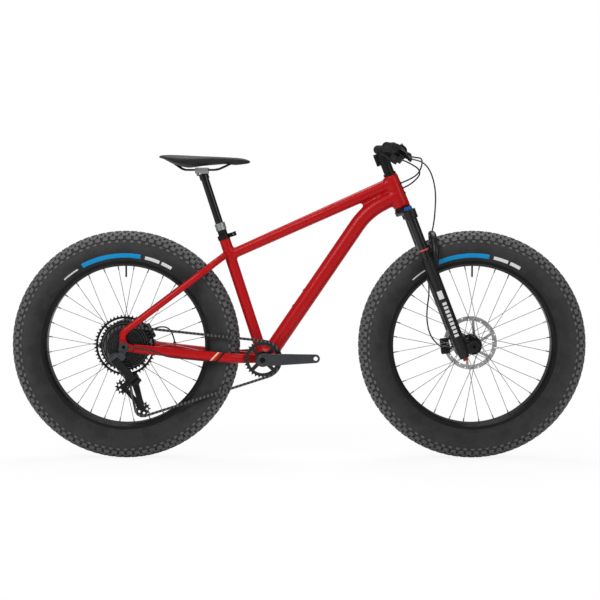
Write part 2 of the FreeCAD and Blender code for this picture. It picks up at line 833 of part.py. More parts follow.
def chain_runs(cage_angle):
    """Straight runs between wheels: each has its leaving and arriving points and its heading."""
    stops = chain_stops(cage_angle)
    runs = []
    for here, there in zip(stops, stops[1:] + stops[:1]):
        reach = there[0] - here[0]
        here_radius = pitch_radius(here[1]) * here[2]
        there_radius = pitch_radius(there[1]) * there[2]
        lean = math.asin((here_radius - there_radius) / math.hypot(reach.x, reach.z))
        heading = math.atan2(reach.z, reach.x) + lean
        across = V(math.sin(heading), 0, -math.cos(heading))
        leave = V(here[0].x, here[3], here[0].z) + across * here_radius
        arrive = V(there[0].x, there[3], there[0].z) + across * there_radius
        runs.append((leave, arrive, heading))
    return stops, runs


def chain_pieces(cage_angle):
    """The loop as pieces in order, each with its length in pitches."""
    stops, runs = chain_runs(cage_angle)
    pieces = []
    for index, (centre, teeth, way, side) in enumerate(stops):
        arrive_heading = runs[index - 1][2]
        leave_heading = runs[index][2]
        wrap = ((leave_heading - arrive_heading) * way) % (2 * math.pi)
        start_angle = arrive_heading - way * math.pi / 2
        pieces.append(("wrap", wrap * teeth / (2 * math.pi), index, start_angle))
        leave, arrive, heading = runs[index]
        pieces.append(("run", (arrive - leave).Length / chain_pitch, leave, arrive))
    return stops, pieces


def chain_length(cage_angle):
    """Length of the loop in pitches."""
    return sum(piece[1] for piece in chain_pieces(cage_angle)[1])


link_count = 2 * round(chain_length(0) / 2)
low_angle, high_angle = -math.pi / 9, math.pi / 9
rising = chain_length(high_angle) > chain_length(low_angle)
for attempt in range(60):
    cage_angle = (low_angle + high_angle) / 2
    if (chain_length(cage_angle) < link_count) == rising:
        low_angle = cage_angle
    else:
        high_angle = cage_angle
chain_wheels, chain_loop = chain_pieces(cage_angle)
guide_pulley = chain_wheels[2][0]
tension_pulley = chain_wheels[3][0]
print("chain links", link_count, "cage turned by", round(math.degrees(cage_angle), 2))
print("guide pulley", guide_pulley, "tension pulley", tension_pulley)


def chain_point(pitches):
    """Place of a pin at a distance along the loop, with the wheel that it lies on and its angle there."""
    for kind, length, third, fourth in chain_loop:
        if pitches <= length:
            break
        pitches -= length
    if kind == "run":
        share = pitches / length
        side_share = share ** 2 * (3 - 2 * share)
        spot = third + (fourth - third) * share
        return V(spot.x, third.y + (fourth.y - third.y) * side_share, spot.z), None, 0
    centre, teeth, way, side = chain_wheels[third]
    angle = fourth + way * pitches * 2 * math.pi / teeth
    spot = V(centre.x, side, centre.z) + V(math.cos(angle), 0, math.sin(angle)) * pitch_radius(teeth)
    return spot, third, angle


pins = [chain_point(step) for step in range(link_count)]
gap_angles = {wheel: angle for spot, wheel, angle in pins if wheel is not None}


def link_plates(inner_face):
    """Two side plates of a chain link, drawn along X about the origin, with the places of its pins."""
    start = V(-chain_pitch / 2, 0, 0)
    end = V(chain_pitch / 2, 0, 0)
    outer_face = inner_face + link_plate_thickness
    sides = [plate(start, end, link_plate_radius, link_plate_radius, inner_face, outer_face),
             plate(start, end, link_plate_radius, link_plate_radius, -outer_face, -inner_face)]
    return start, end, sides


inner_face = inner_half_gap
outer_face = inner_half_gap + link_plate_thickness + plate_play
start, end, sides = link_plates(inner_face)
rollers = [cylinder(place - Y_AXIS * inner_face, place + Y_AXIS * inner_face, roller_radius)
           for place in (start, end)]
reach = inner_face + link_plate_thickness + cut_overrun
bores = [cylinder(place - Y_AXIS * reach, place + Y_AXIS * reach, pin_radius + pin_play)
         for place in (start, end)]
inner_link = joined(sides + rollers).cut(Part.makeCompound(bores))
start, end, sides = link_plates(outer_face)
reach = outer_face + link_plate_thickness + pin_overhang
outer_link = joined(sides + [cylinder(place - Y_AXIS * reach, place + Y_AXIS * reach, pin_radius)
                             for place in (start, end)])
links = []
for step in range(link_count):
    here = pins[step][0]
    there = pins[(step + 1) % link_count][0]
    ahead = (there - here).normalize()
    above = V(-ahead.z, 0, ahead.x).normalize()
    links.append(placed(outer_link if step % 2 else inner_link, (here + there) / 2, ahead, above))
parts["chain"] = Part.makeCompound(links)

# Cassette: twelve cogs on a freehub body. The largest ones have windows.
freehub_low = -rear_hub_width / 2 + body_gap
freehub_high = rear_hub_ends[0] - body_gap
cogs = []
for step, teeth in enumerate(cog_teeth):
    side = -(largest_cog_out + cog_spacing * step)
    angle = gap_angles[1] if step == running_cog else 0
    cog = sprocket(teeth, angle, side, tooth_thickness)
    bore = cylinder(V(0, side - cut_overrun, 0), V(0, side + cut_overrun, 0),
                    freehub_radius + slip_clearance)
    cog = cog.cut(bore)
    if step < windowed_cogs:
        outer = pitch_radius(teeth) - cog_window_rim
        inner = pitch_radius(cog_teeth[step + 1]) - cog_window_rim
        band = sleeve(V(0, side - cut_overrun, 0), V(0, side + cut_overrun, 0), outer, inner)
        ribs = []
        for rib in range(cog_window_count):
            bar = Part.makeBox(outer, 2 * cut_overrun, cog_window_rib,
                               V(0, side - cut_overrun, -cog_window_rib / 2))
            ribs.append(turned_copy(bar, V(0, 0, 0), Y_AXIS, 360 * rib / cog_window_count))
        cog = cog.cut(band.cut(Part.makeCompound(ribs)))
    cogs.append(cog)
freehub = sleeve(V(0, freehub_low, 0), V(0, freehub_high, 0), freehub_radius,
                 rear_axle_radius + running_clearance)
parts["cassette"] = moved(Part.makeCompound(cogs + [freehub]), rear_axle)

# Cranks on a common spindle, with a direct-mount chainring
arm_inner = crank_face - crank_thickness
boss_inner = shell_width / 2 + bearing_cup_out + body_gap
rise = math.radians(crank_rise)
right_pedal = bottom_bracket + V(math.cos(rise), 0, math.sin(rise)) * crank_length
left_pedal = bottom_bracket - V(math.cos(rise), 0, math.sin(rise)) * crank_length


def along_y(place, low, high):
    """Two ends of a bar along Y through a place."""
    return V(place.x, low, place.z), V(place.x, high, place.z)


def crank_arm(pedal, way):
    """One arm with its boss, drilled for a pedal. It lies on the side that its way gives."""
    low, high = sorted((way * arm_inner, way * crank_face))
    boss_low, boss_high = sorted((way * boss_inner, way * arm_inner))
    cap_low, cap_high = sorted((way * crank_face, way * (crank_face + crank_cap_height)))
    arm = joined([plate(bottom_bracket, pedal, crank_root_radius, crank_tip_radius, low, high),
                  cylinder(*along_y(bottom_bracket, boss_low, boss_high), crank_boss_radius),
                  cylinder(*along_y(bottom_bracket, cap_low, cap_high), crank_cap_radius)])
    return arm.cut(cylinder(*along_y(pedal, low - cut_overrun, high + cut_overrun), pedal_hole_radius))


spindle_room = cylinder(*along_y(bottom_bracket, -arm_inner, arm_inner + crank_thickness / 2),
                        spindle_radius)
left_arm = crank_arm(left_pedal, 1).cut(spindle_room)
right_arm = crank_arm(right_pedal, -1).cut(spindle_room)
spindle = sleeve(*along_y(bottom_bracket, -arm_inner, arm_inner + crank_thickness / 2), spindle_radius,
                 spindle_bore_radius)
parts["crank_arms"] = Part.makeCompound([right_arm, left_arm, spindle])

web_low = -chain_line - ring_web_thickness / 2
web_high = -chain_line + ring_web_thickness / 2
teeth_ring = sprocket(ring_teeth, gap_angles[0], -chain_line, tooth_thickness)
teeth_ring = teeth_ring.cut(cylinder(V(0, web_low - cut_overrun, 0), V(0, web_high + cut_overrun, 0),
                                     ring_web_radius - ring_arm_width / 2))
ring_pieces = [teeth_ring,
               sleeve(V(0, web_low, 0), V(0, web_high, 0), ring_web_radius,
                      ring_web_radius - ring_arm_width / 2),
               sleeve(V(0, web_low, 0), V(0, web_high, 0), ring_hub_radius,
                      crank_boss_radius + slip_clearance)]
for step in range(ring_arm_count):
    angle = 2 * math.pi * (step + 1 / 2) / ring_arm_count
    out = V(math.cos(angle), 0, math.sin(angle))
    arm_foot = out * (ring_hub_radius - ring_arm_width / 4)
    arm_head = out * (ring_web_radius - ring_arm_width * ring_arm_seat_share)
    ring_pieces.append(plate(arm_foot, arm_head, ring_arm_width / 2, ring_arm_width / 2, web_low, web_high))
ring_bore = cylinder(V(0, web_low - cut_overrun, 0), V(0, web_high + cut_overrun, 0),
                     crank_boss_radius + slip_clearance)
parts["chainring"] = moved(joined(ring_pieces).cut(ring_bore), bottom_bracket)

# Rear derailleur: hanger and mount, one swinging link, the lower knuckle, the cage and two pulleys
hanger_eye = V(rear_axle.x - hanger_back, 0, axle_z - hanger_drop)
dropout_inner = rear_hub_width / 2
dropout_outer = dropout_inner + dropout_thickness
hanger_outer = dropout_outer + hanger_thickness
hanger = plate(rear_axle, hanger_eye, dropout_eye_radius, hanger_eye_radius, -hanger_outer, -dropout_outer)
hanger = hanger.cut(cylinder(*along_y(rear_axle, -hanger_outer - cut_overrun, -dropout_outer + cut_overrun),
                             rear_axle_radius + slip_clearance))
mount_pivot = V(rear_axle.x + mount_pivot_ahead, -mount_pivot_out, axle_z + mount_pivot_up)
knuckle_pivot = V(cage_pivot.x, -knuckle_pivot_out, cage_pivot.z)
swing_reach = knuckle_pivot - mount_pivot
swing_along = V(swing_reach).normalize()
swing_axis = V(-swing_along.z, 0, swing_along.x).normalize()
print("swing axis", swing_axis, "mount pivot", mount_pivot, "knuckle pivot", knuckle_pivot)
link_room = link_half_height + link_eye_gap
lug_high = link_room + link_fork_thickness


def clevis(place, way):
    """Two lugs joined by a bridge round the link's eye at a pivot, on its way's side, and the pin."""
    pieces = []
    for side in (1, -1):
        low, high = sorted((side * link_room, side * lug_high))
        pieces.append(flat_link((0, 0), (way * bridge_lead, 0), link_half_width, link_half_width, low,
                                high))
    start = min(way * bridge_lead, way * (bridge_lead + bridge_depth))
    pieces.append(Part.makeBox(bridge_depth, 2 * link_half_width, 2 * lug_high,
                               V(start, -link_half_width, -lug_high)))
    pieces.append(cylinder(Z_AXIS * -lug_high, Z_AXIS * lug_high, swing_pin_radius))
    return [placed(piece, place, swing_along, swing_axis) for piece in pieces]


link_eye = link_half_width
link_drawn = flat_link((0, 0), (swing_reach.Length, 0), link_eye, link_eye, -link_half_height,
                       link_half_height)
for place in (0, swing_reach.Length):
    link_drawn = link_drawn.cut(cylinder(V(place, 0, -lug_high), V(place, 0, lug_high),
                                         swing_pin_radius + running_clearance))
parts["derailleur_link"] = placed(link_drawn, mount_pivot, swing_along, swing_axis)

mount_low = hanger_outer + slip_clearance
mount_high = mount_low + mount_width


def cleared(body, pivot, heading):
    """The largest piece of a body that is left when the link has swept past it about a pivot."""
    radius = link_eye + knuckle_gap
    low, high = [math.radians(heading + angle) for angle in swing_range]
    floor = Z_AXIS * -link_room
    near_low = floor + V(math.sin(low), -math.cos(low), 0) * radius
    near_high = floor + V(-math.sin(high), math.cos(high), 0) * radius
    far_low = near_low + V(math.cos(low), math.sin(low), 0) * swing_reach.Length
    far_high = near_high + V(math.cos(high), math.sin(high), 0) * swing_reach.Length
    back = floor - V(math.cos((low + high) / 2), math.sin((low + high) / 2), 0) * radius
    edges = [Part.LineSegment(near_high, far_high).toShape(), Part.LineSegment(far_high, far_low).toShape(),
             Part.LineSegment(far_low, near_low).toShape(), Part.Arc(near_low, back, near_high).toShape()]
    room = Part.Face(Part.Wire(edges)).extrude(Z_AXIS * (2 * link_room))
    body = body.cut(placed(room, pivot, swing_along, swing_axis))
    return max(body.Solids, key=lambda solid: solid.Volume)


mount_bridge = mount_pivot - swing_along * (bridge_lead + bridge_depth / 2)
mount_clevis = clevis(mount_pivot, -1)
mount_arm = plate(hanger_eye, mount_bridge, mount_eye_radius, bridge_arm_radius, -mount_high, -mount_low)
mount_body = cleared(joined([mount_arm] + mount_clevis[:-1]), mount_pivot, 0)
mount_body = joined([mount_body, mount_clevis[-1]])
parts["derailleur_mount"] = Part.makeCompound([cleared(hanger, mount_pivot, 0), mount_body])

cage_outer = running_side - cage_half_gap - cage_plate_thickness
knuckle_high = cage_outer - knuckle_gap
knuckle_low = knuckle_high - knuckle_width
knuckle_bridge = knuckle_pivot + swing_along * (bridge_lead + bridge_depth / 2)
knuckle_clevis = clevis(knuckle_pivot, 1)
knuckle_arm = plate(cage_pivot, knuckle_bridge, bridge_arm_radius, bridge_arm_radius, -knuckle_pivot_out,
                    knuckle_high)
knuckle = joined([cylinder(*along_y(cage_pivot, knuckle_low, knuckle_high), knuckle_radius), knuckle_arm]
                 + knuckle_clevis[:-1])
knuckle = joined([cleared(knuckle, knuckle_pivot, 180), knuckle_clevis[-1]])
post_low_end = knuckle_high - knuckle_width * knuckle_post_share
parts["derailleur_knuckle"] = knuckle.cut(cylinder(*along_y(cage_pivot, post_low_end - body_gap,
                                                            knuckle_high + cut_overrun),
                                                   knuckle_post_radius + running_clearance))

cage_outer_in = running_side - cage_half_gap
cage_inner_in = running_side + cage_half_gap
cage_inner_out = cage_inner_in + cage_plate_thickness
cage = joined([
    plate(cage_pivot, guide_pulley, cage_pivot_radius, cage_plate_radius, cage_outer, cage_outer_in),
    plate(cage_pivot, tension_pulley, cage_pivot_radius, cage_plate_radius, cage_outer, cage_outer_in),
    plate(guide_pulley, tension_pulley, cage_plate_radius, cage_plate_radius, cage_inner_in,
          cage_inner_out),
    cylinder(*along_y(guide_pulley, cage_outer, cage_inner_out), pulley_bolt_radius),
    cylinder(*along_y(tension_pulley, cage_outer, cage_inner_out), pulley_bolt_radius),
    cylinder(*along_y(cage_pivot, post_low_end, cage_outer_in), knuckle_post_radius)])
parts["derailleur_cage"] = cage
pulleys = (("guide_pulley", guide_pulley, gap_angles[2]), ("tension_pulley", tension_pulley, gap_angles[3]))
for name, centre, gap_angle in pulleys:
    wheel = moved(sprocket(pulley_teeth, gap_angle, running_side, tooth_thickness), centre)
    low, high = along_y(centre, running_side - pulley_hub_width / 2, running_side + pulley_hub_width / 2)
    wheel = joined([wheel, cylinder(low, high, pulley_hub_radius)])
    for step in range(pulley_hole_count):
        angle = gap_angle + 2 * math.pi * step / pulley_hole_count
        spot = centre + V(math.cos(angle), 0, math.sin(angle)) * pulley_hole_reach
        wheel = wheel.cut(cylinder(V(spot.x, low.y, spot.z), V(spot.x, high.y, spot.z), pulley_hole_radius))
    parts[name] = wheel.cut(cylinder(low, high, pulley_bolt_radius + running_clearance))

# Frame tubes. Filled copies cut the ends of the tubes that meet them.
head_low = Z_AXIS * head_tube_low
head_high = Z_AXIS * (head_tube_low + head_tube_length)
head_filled = on_steering(taper(head_low, head_high, head_tube_low_radius, head_tube_high_radius))
head_bore = on_steering(taper(head_low, head_high, head_tube_low_radius - head_tube_wall,
                              head_tube_high_radius - head_tube_wall))
seat_top = bottom_bracket + seat_up * seat_tube_length
seat_filled = cylinder(bottom_bracket, seat_top, seat_tube_radius)
seat_bore = cylinder(bottom_bracket, seat_top, seat_tube_radius - seat_tube_wall)
shell_filled = cylinder(*along_y(bottom_bracket, -shell_width / 2, shell_width / 2), shell_radius)
shell_bore = cylinder(*along_y(bottom_bracket, -shell_width / 2, shell_width / 2), shell_bore_radius)

down_start = bottom_bracket + V(down_tube_low_ahead, 0, down_tube_low_up)
down_end = steering_foot + steering_up * (head_tube_low + down_tube_end_along)
down_heading = V(math.cos(math.radians(down_tube_angle)), 0, math.sin(math.radians(down_tube_angle)))
end_heading = V(math.cos(math.radians(down_tube_end_angle)), 0, math.sin(math.radians(down_tube_end_angle)))
span = down_end - down_start
turn = down_heading.x * end_heading.z - down_heading.z * end_heading.x
corner_reach = (span.x * end_heading.z - span.z * end_heading.x) / turn
down_corner = down_start + down_heading * corner_reach
down_path, down_radii = route([down_start, down_corner, down_end], down_tube_bend_share)
print("down tube bend radius", [round(radius, 1) for radius in down_radii])
down_filled = pipe(down_path, down_tube_radius)
down_hollow = down_filled.cut(pipe(down_path, down_tube_radius - tube_wall))

top_start = bottom_bracket + seat_up * top_tube_seat_along
top_end = steering_foot + steering_up * (head_tube_low + top_tube_head_along)
top_heading = (top_end - top_start).normalize()
top_up = top_heading.cross(Y_AXIS) * -1


def top_tube_bar(inset):
    """The top tube's outer form, or its hollow when inset by the wall."""
    return Part.makeLoft([
        oval(top_start, Y_AXIS, top_up, top_tube_seat_width / 2 - inset, top_tube_seat_height / 2 - inset,
             2),
        oval(top_end, Y_AXIS, top_up, top_tube_head_width / 2 - inset, top_tube_head_height / 2 - inset,
             2)], True, True)


def rear_place(ahead, side, up, way):
    """A place given from the rear axle, on the side that its way gives."""
    return rear_axle + V(ahead, way * side, up)


boss_axis = V(-down_heading.z, 0, down_heading.x)
boss_solids = []
for step in range(2):
    foot = down_start + down_heading * (boss_first_along + boss_spacing * step)
    outer = foot + boss_axis * (down_tube_radius + boss_out)
    boss_solids.append((outer - boss_axis * boss_length, outer))
boss_bodies = [cylinder(low, high, boss_radius) for low, high in boss_solids]
boss_holes = [cylinder(low - boss_axis * cut_overrun, high + boss_axis * cut_overrun, boss_hole_radius)
              for low, high in boss_solids]

parts["head_tube"] = head_filled.cut(head_bore)
parts["bottom_bracket_shell"] = shell_filled.cut(shell_bore)
parts["seat_tube"] = seat_filled.cut(seat_bore).cut(shell_filled)
down_tube = down_hollow.cut(head_filled).cut(seat_filled).cut(shell_filled)
down_tube = down_tube.cut(Part.makeCompound(boss_bodies))
bosses = [body.cut(hole) for body, hole in zip(boss_bodies, boss_holes)]
down_tube = max(down_tube.Solids, key=lambda solid: solid.Volume)
parts["down_tube"] = Part.makeCompound([down_tube] + bosses)
top_tube = top_tube_bar(0).cut(top_tube_bar(tube_wall)).cut(head_filled).cut(seat_filled).cut(down_filled)
parts["top_tube"] = max(top_tube.Solids, key=lambda solid: solid.Volume)

chainstays = []
seatstays = []
dropouts = []
cup_room_end = shell_width / 2 + bearing_cup_out + body_gap
cup_room = cylinder(*along_y(bottom_bracket, -cup_room_end, cup_room_end), bearing_cup_radius + body_gap)
for way in (-1, 1):
    chain_points = [rear_place(*point, way) for point in chainstay_points]
    seat_points = [rear_place(*point, way) for point in seatstay_points]
    eye_low, eye_high = sorted((way * dropout_inner, way * dropout_outer))
    axle_hole = cylinder(*along_y(rear_axle, eye_low - cut_overrun, eye_high + cut_overrun),
                         rear_axle_radius + slip_clearance)
    dropout = joined([
        plate(rear_axle, chain_points[0], dropout_eye_radius, dropout_arm_radius, eye_low, eye_high),
        plate(rear_axle, seat_points[0], dropout_eye_radius, dropout_arm_radius, eye_low,
              eye_high)]).cut(axle_hole)
    dropouts.append(dropout)
    chain_path, chain_radii = route(chain_points, stay_bend_share)
    chain_bar = oval_tube(chain_path, Y_AXIS, chainstay_half_width, chainstay_half_height)
    chain_hollow = oval_tube(chain_path, Y_AXIS, chainstay_half_width - chainstay_wall,
                             chainstay_half_height - chainstay_wall)
    stay = chain_bar.cut(chain_hollow).cut(shell_filled).cut(cup_room)
    stay = stay.cut(seat_filled).cut(down_filled).cut(dropout)
    chainstays.append(max(stay.Solids, key=lambda solid: solid.Volume))
    seat_path, seat_radii = route(seat_points, stay_bend_share)
    stay = pipe(seat_path, seatstay_radius).cut(pipe(seat_path, seatstay_radius - seatstay_wall))
    stay = stay.cut(seat_filled).cut(dropout)
    seatstays.append(max(stay.Solids, key=lambda solid: solid.Volume))
print("chainstay bend radii", [round(radius, 1) for radius in chain_radii])
print("seatstay bend radii", [round(radius, 1) for radius in seat_radii])
parts["chainstays"] = Part.makeCompound(chainstays)
parts["seatstays"] = Part.makeCompound(seatstays)
parts["rear_dropouts"] = Part.makeCompound(dropouts)

axle_rod = joined([cylinder(*along_y(rear_axle, -hanger_outer, dropout_outer), rear_axle_radius),
                   cylinder(*along_y(rear_axle, dropout_outer, dropout_outer + axle_head_length),
                            axle_head_radius)])
parts["rear_thru_axle"] = axle_rod.cut(cylinder(*along_y(rear_axle, -hanger_outer - cut_overrun,
                                                         dropout_outer + axle_head_length + cut_overrun),
                                                axle_bore_radius))

# Bearing cups of the headset and the bottom bracket
lower_cup_inner = steerer_low_radius + body_gap
lower_cup = sleeve(Z_AXIS * (head_tube_low - lower_cup_height), head_low, head_tube_low_radius,
                   lower_cup_inner)
upper_cup = sleeve(head_high, head_high + Z_AXIS * upper_cup_height, head_tube_high_radius - cup_lip,
                   steerer_radius + body_gap)
cups = [on_steering(lower_cup), on_steering(upper_cup)]
for way in (-1, 1):
    inner_low, inner_high = sorted((way * (shell_width / 2 - cup_depth), way * shell_width / 2))
    flange_low, flange_high = sorted((way * shell_width / 2, way * (shell_width / 2 + bearing_cup_out)))
    cup = joined([cylinder(*along_y(bottom_bracket, inner_low, inner_high), shell_bore_radius),
                  cylinder(*along_y(bottom_bracket, flange_low, flange_high), bearing_cup_radius)])
    cups.append(cup.cut(cylinder(*along_y(bottom_bracket, -shell_width, shell_width),
                                 spindle_radius + running_clearance)))
parts["bearing_cups"] = Part.makeCompound(cups)


def caliper(rotor_radius, side, angle):
    """A caliper over a rotor centred at the origin, at an angle from +X towards +Z."""
    low = rotor_radius - caliper_bite
    body = Part.makeBox(caliper_length, caliper_width, caliper_height,
                        V(-caliper_length / 2, side - caliper_width / 2, low))
    body = body.makeFillet(caliper_edge_round, [edge for edge in body.Edges
                                                if abs(edge.tangentAt(0).y) > 1 / 2])
    for way in (-1, 1):
        face = side + way * caliper_width / 2
        centre = V(0, face, low + caliper_bite / 2)
        body = body.fuse(cylinder(centre, centre + Y_AXIS * (way * caliper_piston_height),
                                  caliper_piston_radius))
    slot = Part.makeBox(caliper_length + 2 * cut_overrun, caliper_slot,
                        caliper_bite + caliper_slot_margin + cut_overrun,
                        V(-caliper_length / 2 - cut_overrun, side - caliper_slot / 2, low - cut_overrun))
    return turned_copy(body.cut(slot), V(0, 0, 0), Y_AXIS, 90 - angle)


rear_caliper = moved(caliper(rear_rotor_radius, rear_rotor_side, rear_caliper_angle), rear_axle)
caliper_lean = math.radians(rear_caliper_angle)
caliper_spot = rear_axle + V(math.cos(caliper_lean), 0, math.sin(caliper_lean)) * rear_rotor_radius
foot_top = V(caliper_spot.x, rear_rotor_side + caliper_width / 2 - caliper_foot_radius, caliper_spot.z)
foot_low = V(caliper_spot.x, chainstay_points[0][1] - chainstay_half_width / 2,
             rear_axle.z + chainstay_points[0][2])
foot = cylinder(foot_low, foot_top, caliper_foot_radius).cut(parts["chainstays"]).cut(rear_caliper)
left_bar = oval_tube(chain_path, Y_AXIS, chainstay_half_width, chainstay_half_height)
foot = foot.cut(left_bar)
foot = max(foot.Solids, key=lambda solid: solid.Volume)
parts["rear_caliper"] = Part.makeCompound([rear_caliper, foot])

# Seat clamp and dropper seatpost, drawn with Z along the seat tube from the bottom bracket
clamp_high = seat_tube_length
clamp_low = clamp_high - seat_clamp_height
clamp_outer = seat_tube_radius + seat_clamp_wall
boss_ahead = clamp_outer + seat_clamp_boss_radius / 2
boss_height = (clamp_low + clamp_high) / 2
boss_half = seat_clamp_boss_length / 2
clamp_ring = joined([
    cylinder(Z_AXIS * clamp_low, Z_AXIS * clamp_high, clamp_outer),
    cylinder(V(boss_ahead, -boss_half, boss_height), V(boss_ahead, boss_half, boss_height),
             seat_clamp_boss_radius)])
lever_pivot = V(boss_ahead, -boss_half - clamp_lever_lead, boss_height)
clamp_pin = cylinder(lever_pivot - Z_AXIS * seat_clamp_boss_radius,
                     lever_pivot + Z_AXIS * seat_clamp_boss_radius,
                     clamp_skewer_radius)
clamp_ring = clamp_ring.cut(cylinder(Z_AXIS * clamp_low, Z_AXIS * clamp_high, seat_tube_radius))
skewer = cylinder(V(boss_ahead, -boss_half, boss_height), lever_pivot, clamp_skewer_radius)
parts["seat_clamp"] = on_seat_tube(joined([clamp_ring, skewer, clamp_pin]))
lever_ahead = lever_pivot.x + clamp_lever_offset
lever_sides = []
for way in (-1, 1):
    low, high = sorted((way * (clamp_skewer_radius + body_gap), way * seat_clamp_boss_radius))
    lever_sides.append(flat_link((lever_pivot.x, lever_pivot.y), (lever_ahead, lever_pivot.y),
                                 clamp_lever_root_radius - 2 * body_gap, clamp_lever_tip_radius,
                                 boss_height + low,
                                 boss_height + high))
lever_sides.append(flat_link((lever_ahead, lever_pivot.y), (lever_ahead,
                                                            lever_pivot.y + clamp_lever_length),
                             clamp_lever_tip_radius, clamp_lever_tip_radius,
                             boss_height - seat_clamp_boss_radius,
                             boss_height + seat_clamp_boss_radius))
clamp_lever = joined(lever_sides)
clamp_lever = clamp_lever.cut(cylinder(lever_pivot - Z_AXIS * seat_clamp_height,
                                       lever_pivot + Z_AXIS * seat_clamp_height,
                                       clamp_skewer_radius + running_clearance))
parts["seat_clamp_lever"] = on_seat_tube(clamp_lever)

parts["seatpost_outer_tube"] = on_seat_tube(sleeve(Z_AXIS * post_low, Z_AXIS * post_collar_low, post_radius,
                                                   post_radius - post_wall))
parts["seatpost_seal_head"] = on_seat_tube(sleeve(Z_AXIS * post_collar_low, Z_AXIS * post_collar_high,
                                                  post_collar_radius,
                                                  shaft_radius + running_clearance))
clamp_along = post_collar_high + post_extension
shaft_high = clamp_along - shaft_end_below_rails
shaft = cylinder(Z_AXIS * shaft_low, Z_AXIS * shaft_high, shaft_radius)
shaft_bore = cylinder(Z_AXIS * shaft_low, Z_AXIS * (shaft_high - shaft_radius), shaft_radius - shaft_wall)

# Saddle: rails held between two clamp halves, a base shell and a padded cover
clamp_spot = bottom_bracket + seat_up * clamp_along
rails = []
for way in (-1, 1):
    points = []
    for index, (ahead, up) in enumerate(rail_points_ahead):
        side = rail_nose_spread / 2 if index == len(rail_points_ahead) - 1 else rail_spread / 2
        points.append(clamp_spot + V(ahead, way * side, up))
    rail_path = route(points, rail_bend_share)[0]
    rails.append(pipe(rail_path, rail_radius))
rail_group = Part.makeCompound(rails)
parts["saddle_rails"] = rail_group
half_long = clamp_cradle_length / 2
half_wide = clamp_cradle_width / 2
cradle = Part.makeBox(clamp_cradle_length, clamp_cradle_width, clamp_cradle_height,
                      clamp_spot + V(-half_long, -half_wide, -clamp_cradle_height - clamp_split / 2))
neck = cylinder(bottom_bracket + seat_up * (shaft_high - clamp_neck_radius),
                clamp_spot - seat_up * clamp_cradle_height,
                clamp_neck_radius)
top_clamp = Part.makeBox(clamp_cradle_length, clamp_cradle_width, clamp_top_height,
                         clamp_spot + V(-half_long, -half_wide, clamp_split / 2))
shaft_filled = on_seat_tube(shaft)
bolts = []
for way in (-1, 1):
    foot = clamp_spot + V(way * (half_long - 2 * saddle_bolt_radius), 0, -saddle_bolt_below)
    bolts.append(cylinder(foot, foot + Z_AXIS * (saddle_bolt_below + saddle_bolt_above),
                          saddle_bolt_radius))
bolt_group = Part.makeCompound(bolts)
post_form = joined([shaft_filled, neck]).cut(on_seat_tube(shaft_bore))
parts["seatpost_shaft"] = post_form.cut(cradle).cut(bolt_group)
lower_half = cradle.cut(rail_group).cut(bolt_group)
upper_half = top_clamp.cut(rail_group).cut(bolt_group)
parts["saddle_clamp"] = Part.makeCompound([lower_half, upper_half] + bolts)
saddle_tail = clamp_spot.x - saddle_tail_behind_clamp
saddle_top = clamp_spot.z + saddle_over_rails
rings = []
for share, half_width, half_depth, crown in saddle_sections:
    centre = V(saddle_tail + saddle_length * share, 0, saddle_top + crown - half_depth)
    rings.append(oval(centre, Y_AXIS, Z_AXIS, half_width, half_depth, saddle_power))
saddle_form = Part.makeLoft(rings, True, False)
split_height = saddle_top - saddle_split_below
under = Part.makeBox(saddle_length + 2 * saddle_split_room, 2 * saddle_split_room, saddle_split_room,
                     V(saddle_tail - saddle_split_room, -saddle_split_room,
                       split_height - saddle_split_room))
parts["saddle_cover"] = saddle_form.cut(under)
parts["saddle_shell"] = saddle_form.common(under).cut(rail_group)

# Fork, drawn with Z along the steering axis from the front axle's foot on it
crown_high = head_tube_low - lower_cup_height - crown_race_gap
steering_top = head_tube_low + head_tube_length + upper_cup_height + body_gap
stem_low = steering_top + sum(spacer_heights)
stem_high = stem_low + stem_clamp_height
leg_side = leg_spread / 2
legs = [V(crown_offset, way * leg_side, 0) for way in (-1, 1)]
stanchion_bars = [cylinder(leg + Z_AXIS * stanchion_low, leg + Z_AXIS * crown_side_high, stanchion_radius)
                  for leg in legs]
stanchion_bores = [cylinder(leg + Z_AXIS * stanchion_low, leg
                            + Z_AXIS * (crown_side_high - stanchion_radius),
                            stanchion_radius - stanchion_wall) for leg in legs]
left_cap = cylinder(legs[1] + Z_AXIS * crown_side_high, legs[1]
                    + Z_AXIS * (crown_side_high + crown_cap_height),
                    crown_cap_radius)
knob_post = cylinder(legs[0] + Z_AXIS * crown_side_high, legs[0] + Z_AXIS * (crown_side_high + knob_height),
                     pin_radius)
tubes = [bar.cut(bore) for bar, bore in zip(stanchion_bars, stanchion_bores)]
tubes[0] = joined([tubes[0], knob_post])
parts["fork_stanchions"] = on_steering(Part.makeCompound(tubes + [left_cap]))
crown_pieces = [cylinder(Z_AXIS * crown_middle_low, Z_AXIS * crown_high, crown_middle_radius)]
for leg in legs:
    crown_pieces.append(cylinder(leg + Z_AXIS * crown_side_low, leg + Z_AXIS * crown_side_high,
                                 crown_side_radius))
    crown_pieces.append(flat_link((0, 0), (leg.x, leg.y), crown_middle_radius - cut_overrun,
                                  crown_arm_depth / 2,
                                  crown_middle_low, crown_side_high))
crown_pieces.append(taper(Z_AXIS * crown_high, Z_AXIS * (crown_high + steerer_low_length),
                          steerer_low_radius,
                          steerer_radius))
crown_pieces.append(cylinder(Z_AXIS * (crown_high + steerer_low_length), Z_AXIS * stem_high,
                             steerer_radius))
crown = joined(crown_pieces).cut(Part.makeCompound(stanchion_bars))
crown = crown.cut(cylinder(Z_AXIS * (crown_middle_low - cut_overrun), Z_AXIS * (stem_high + cut_overrun),
                           steerer_radius - steerer_wall))
parts["fork_crown"] = on_steering(crown)


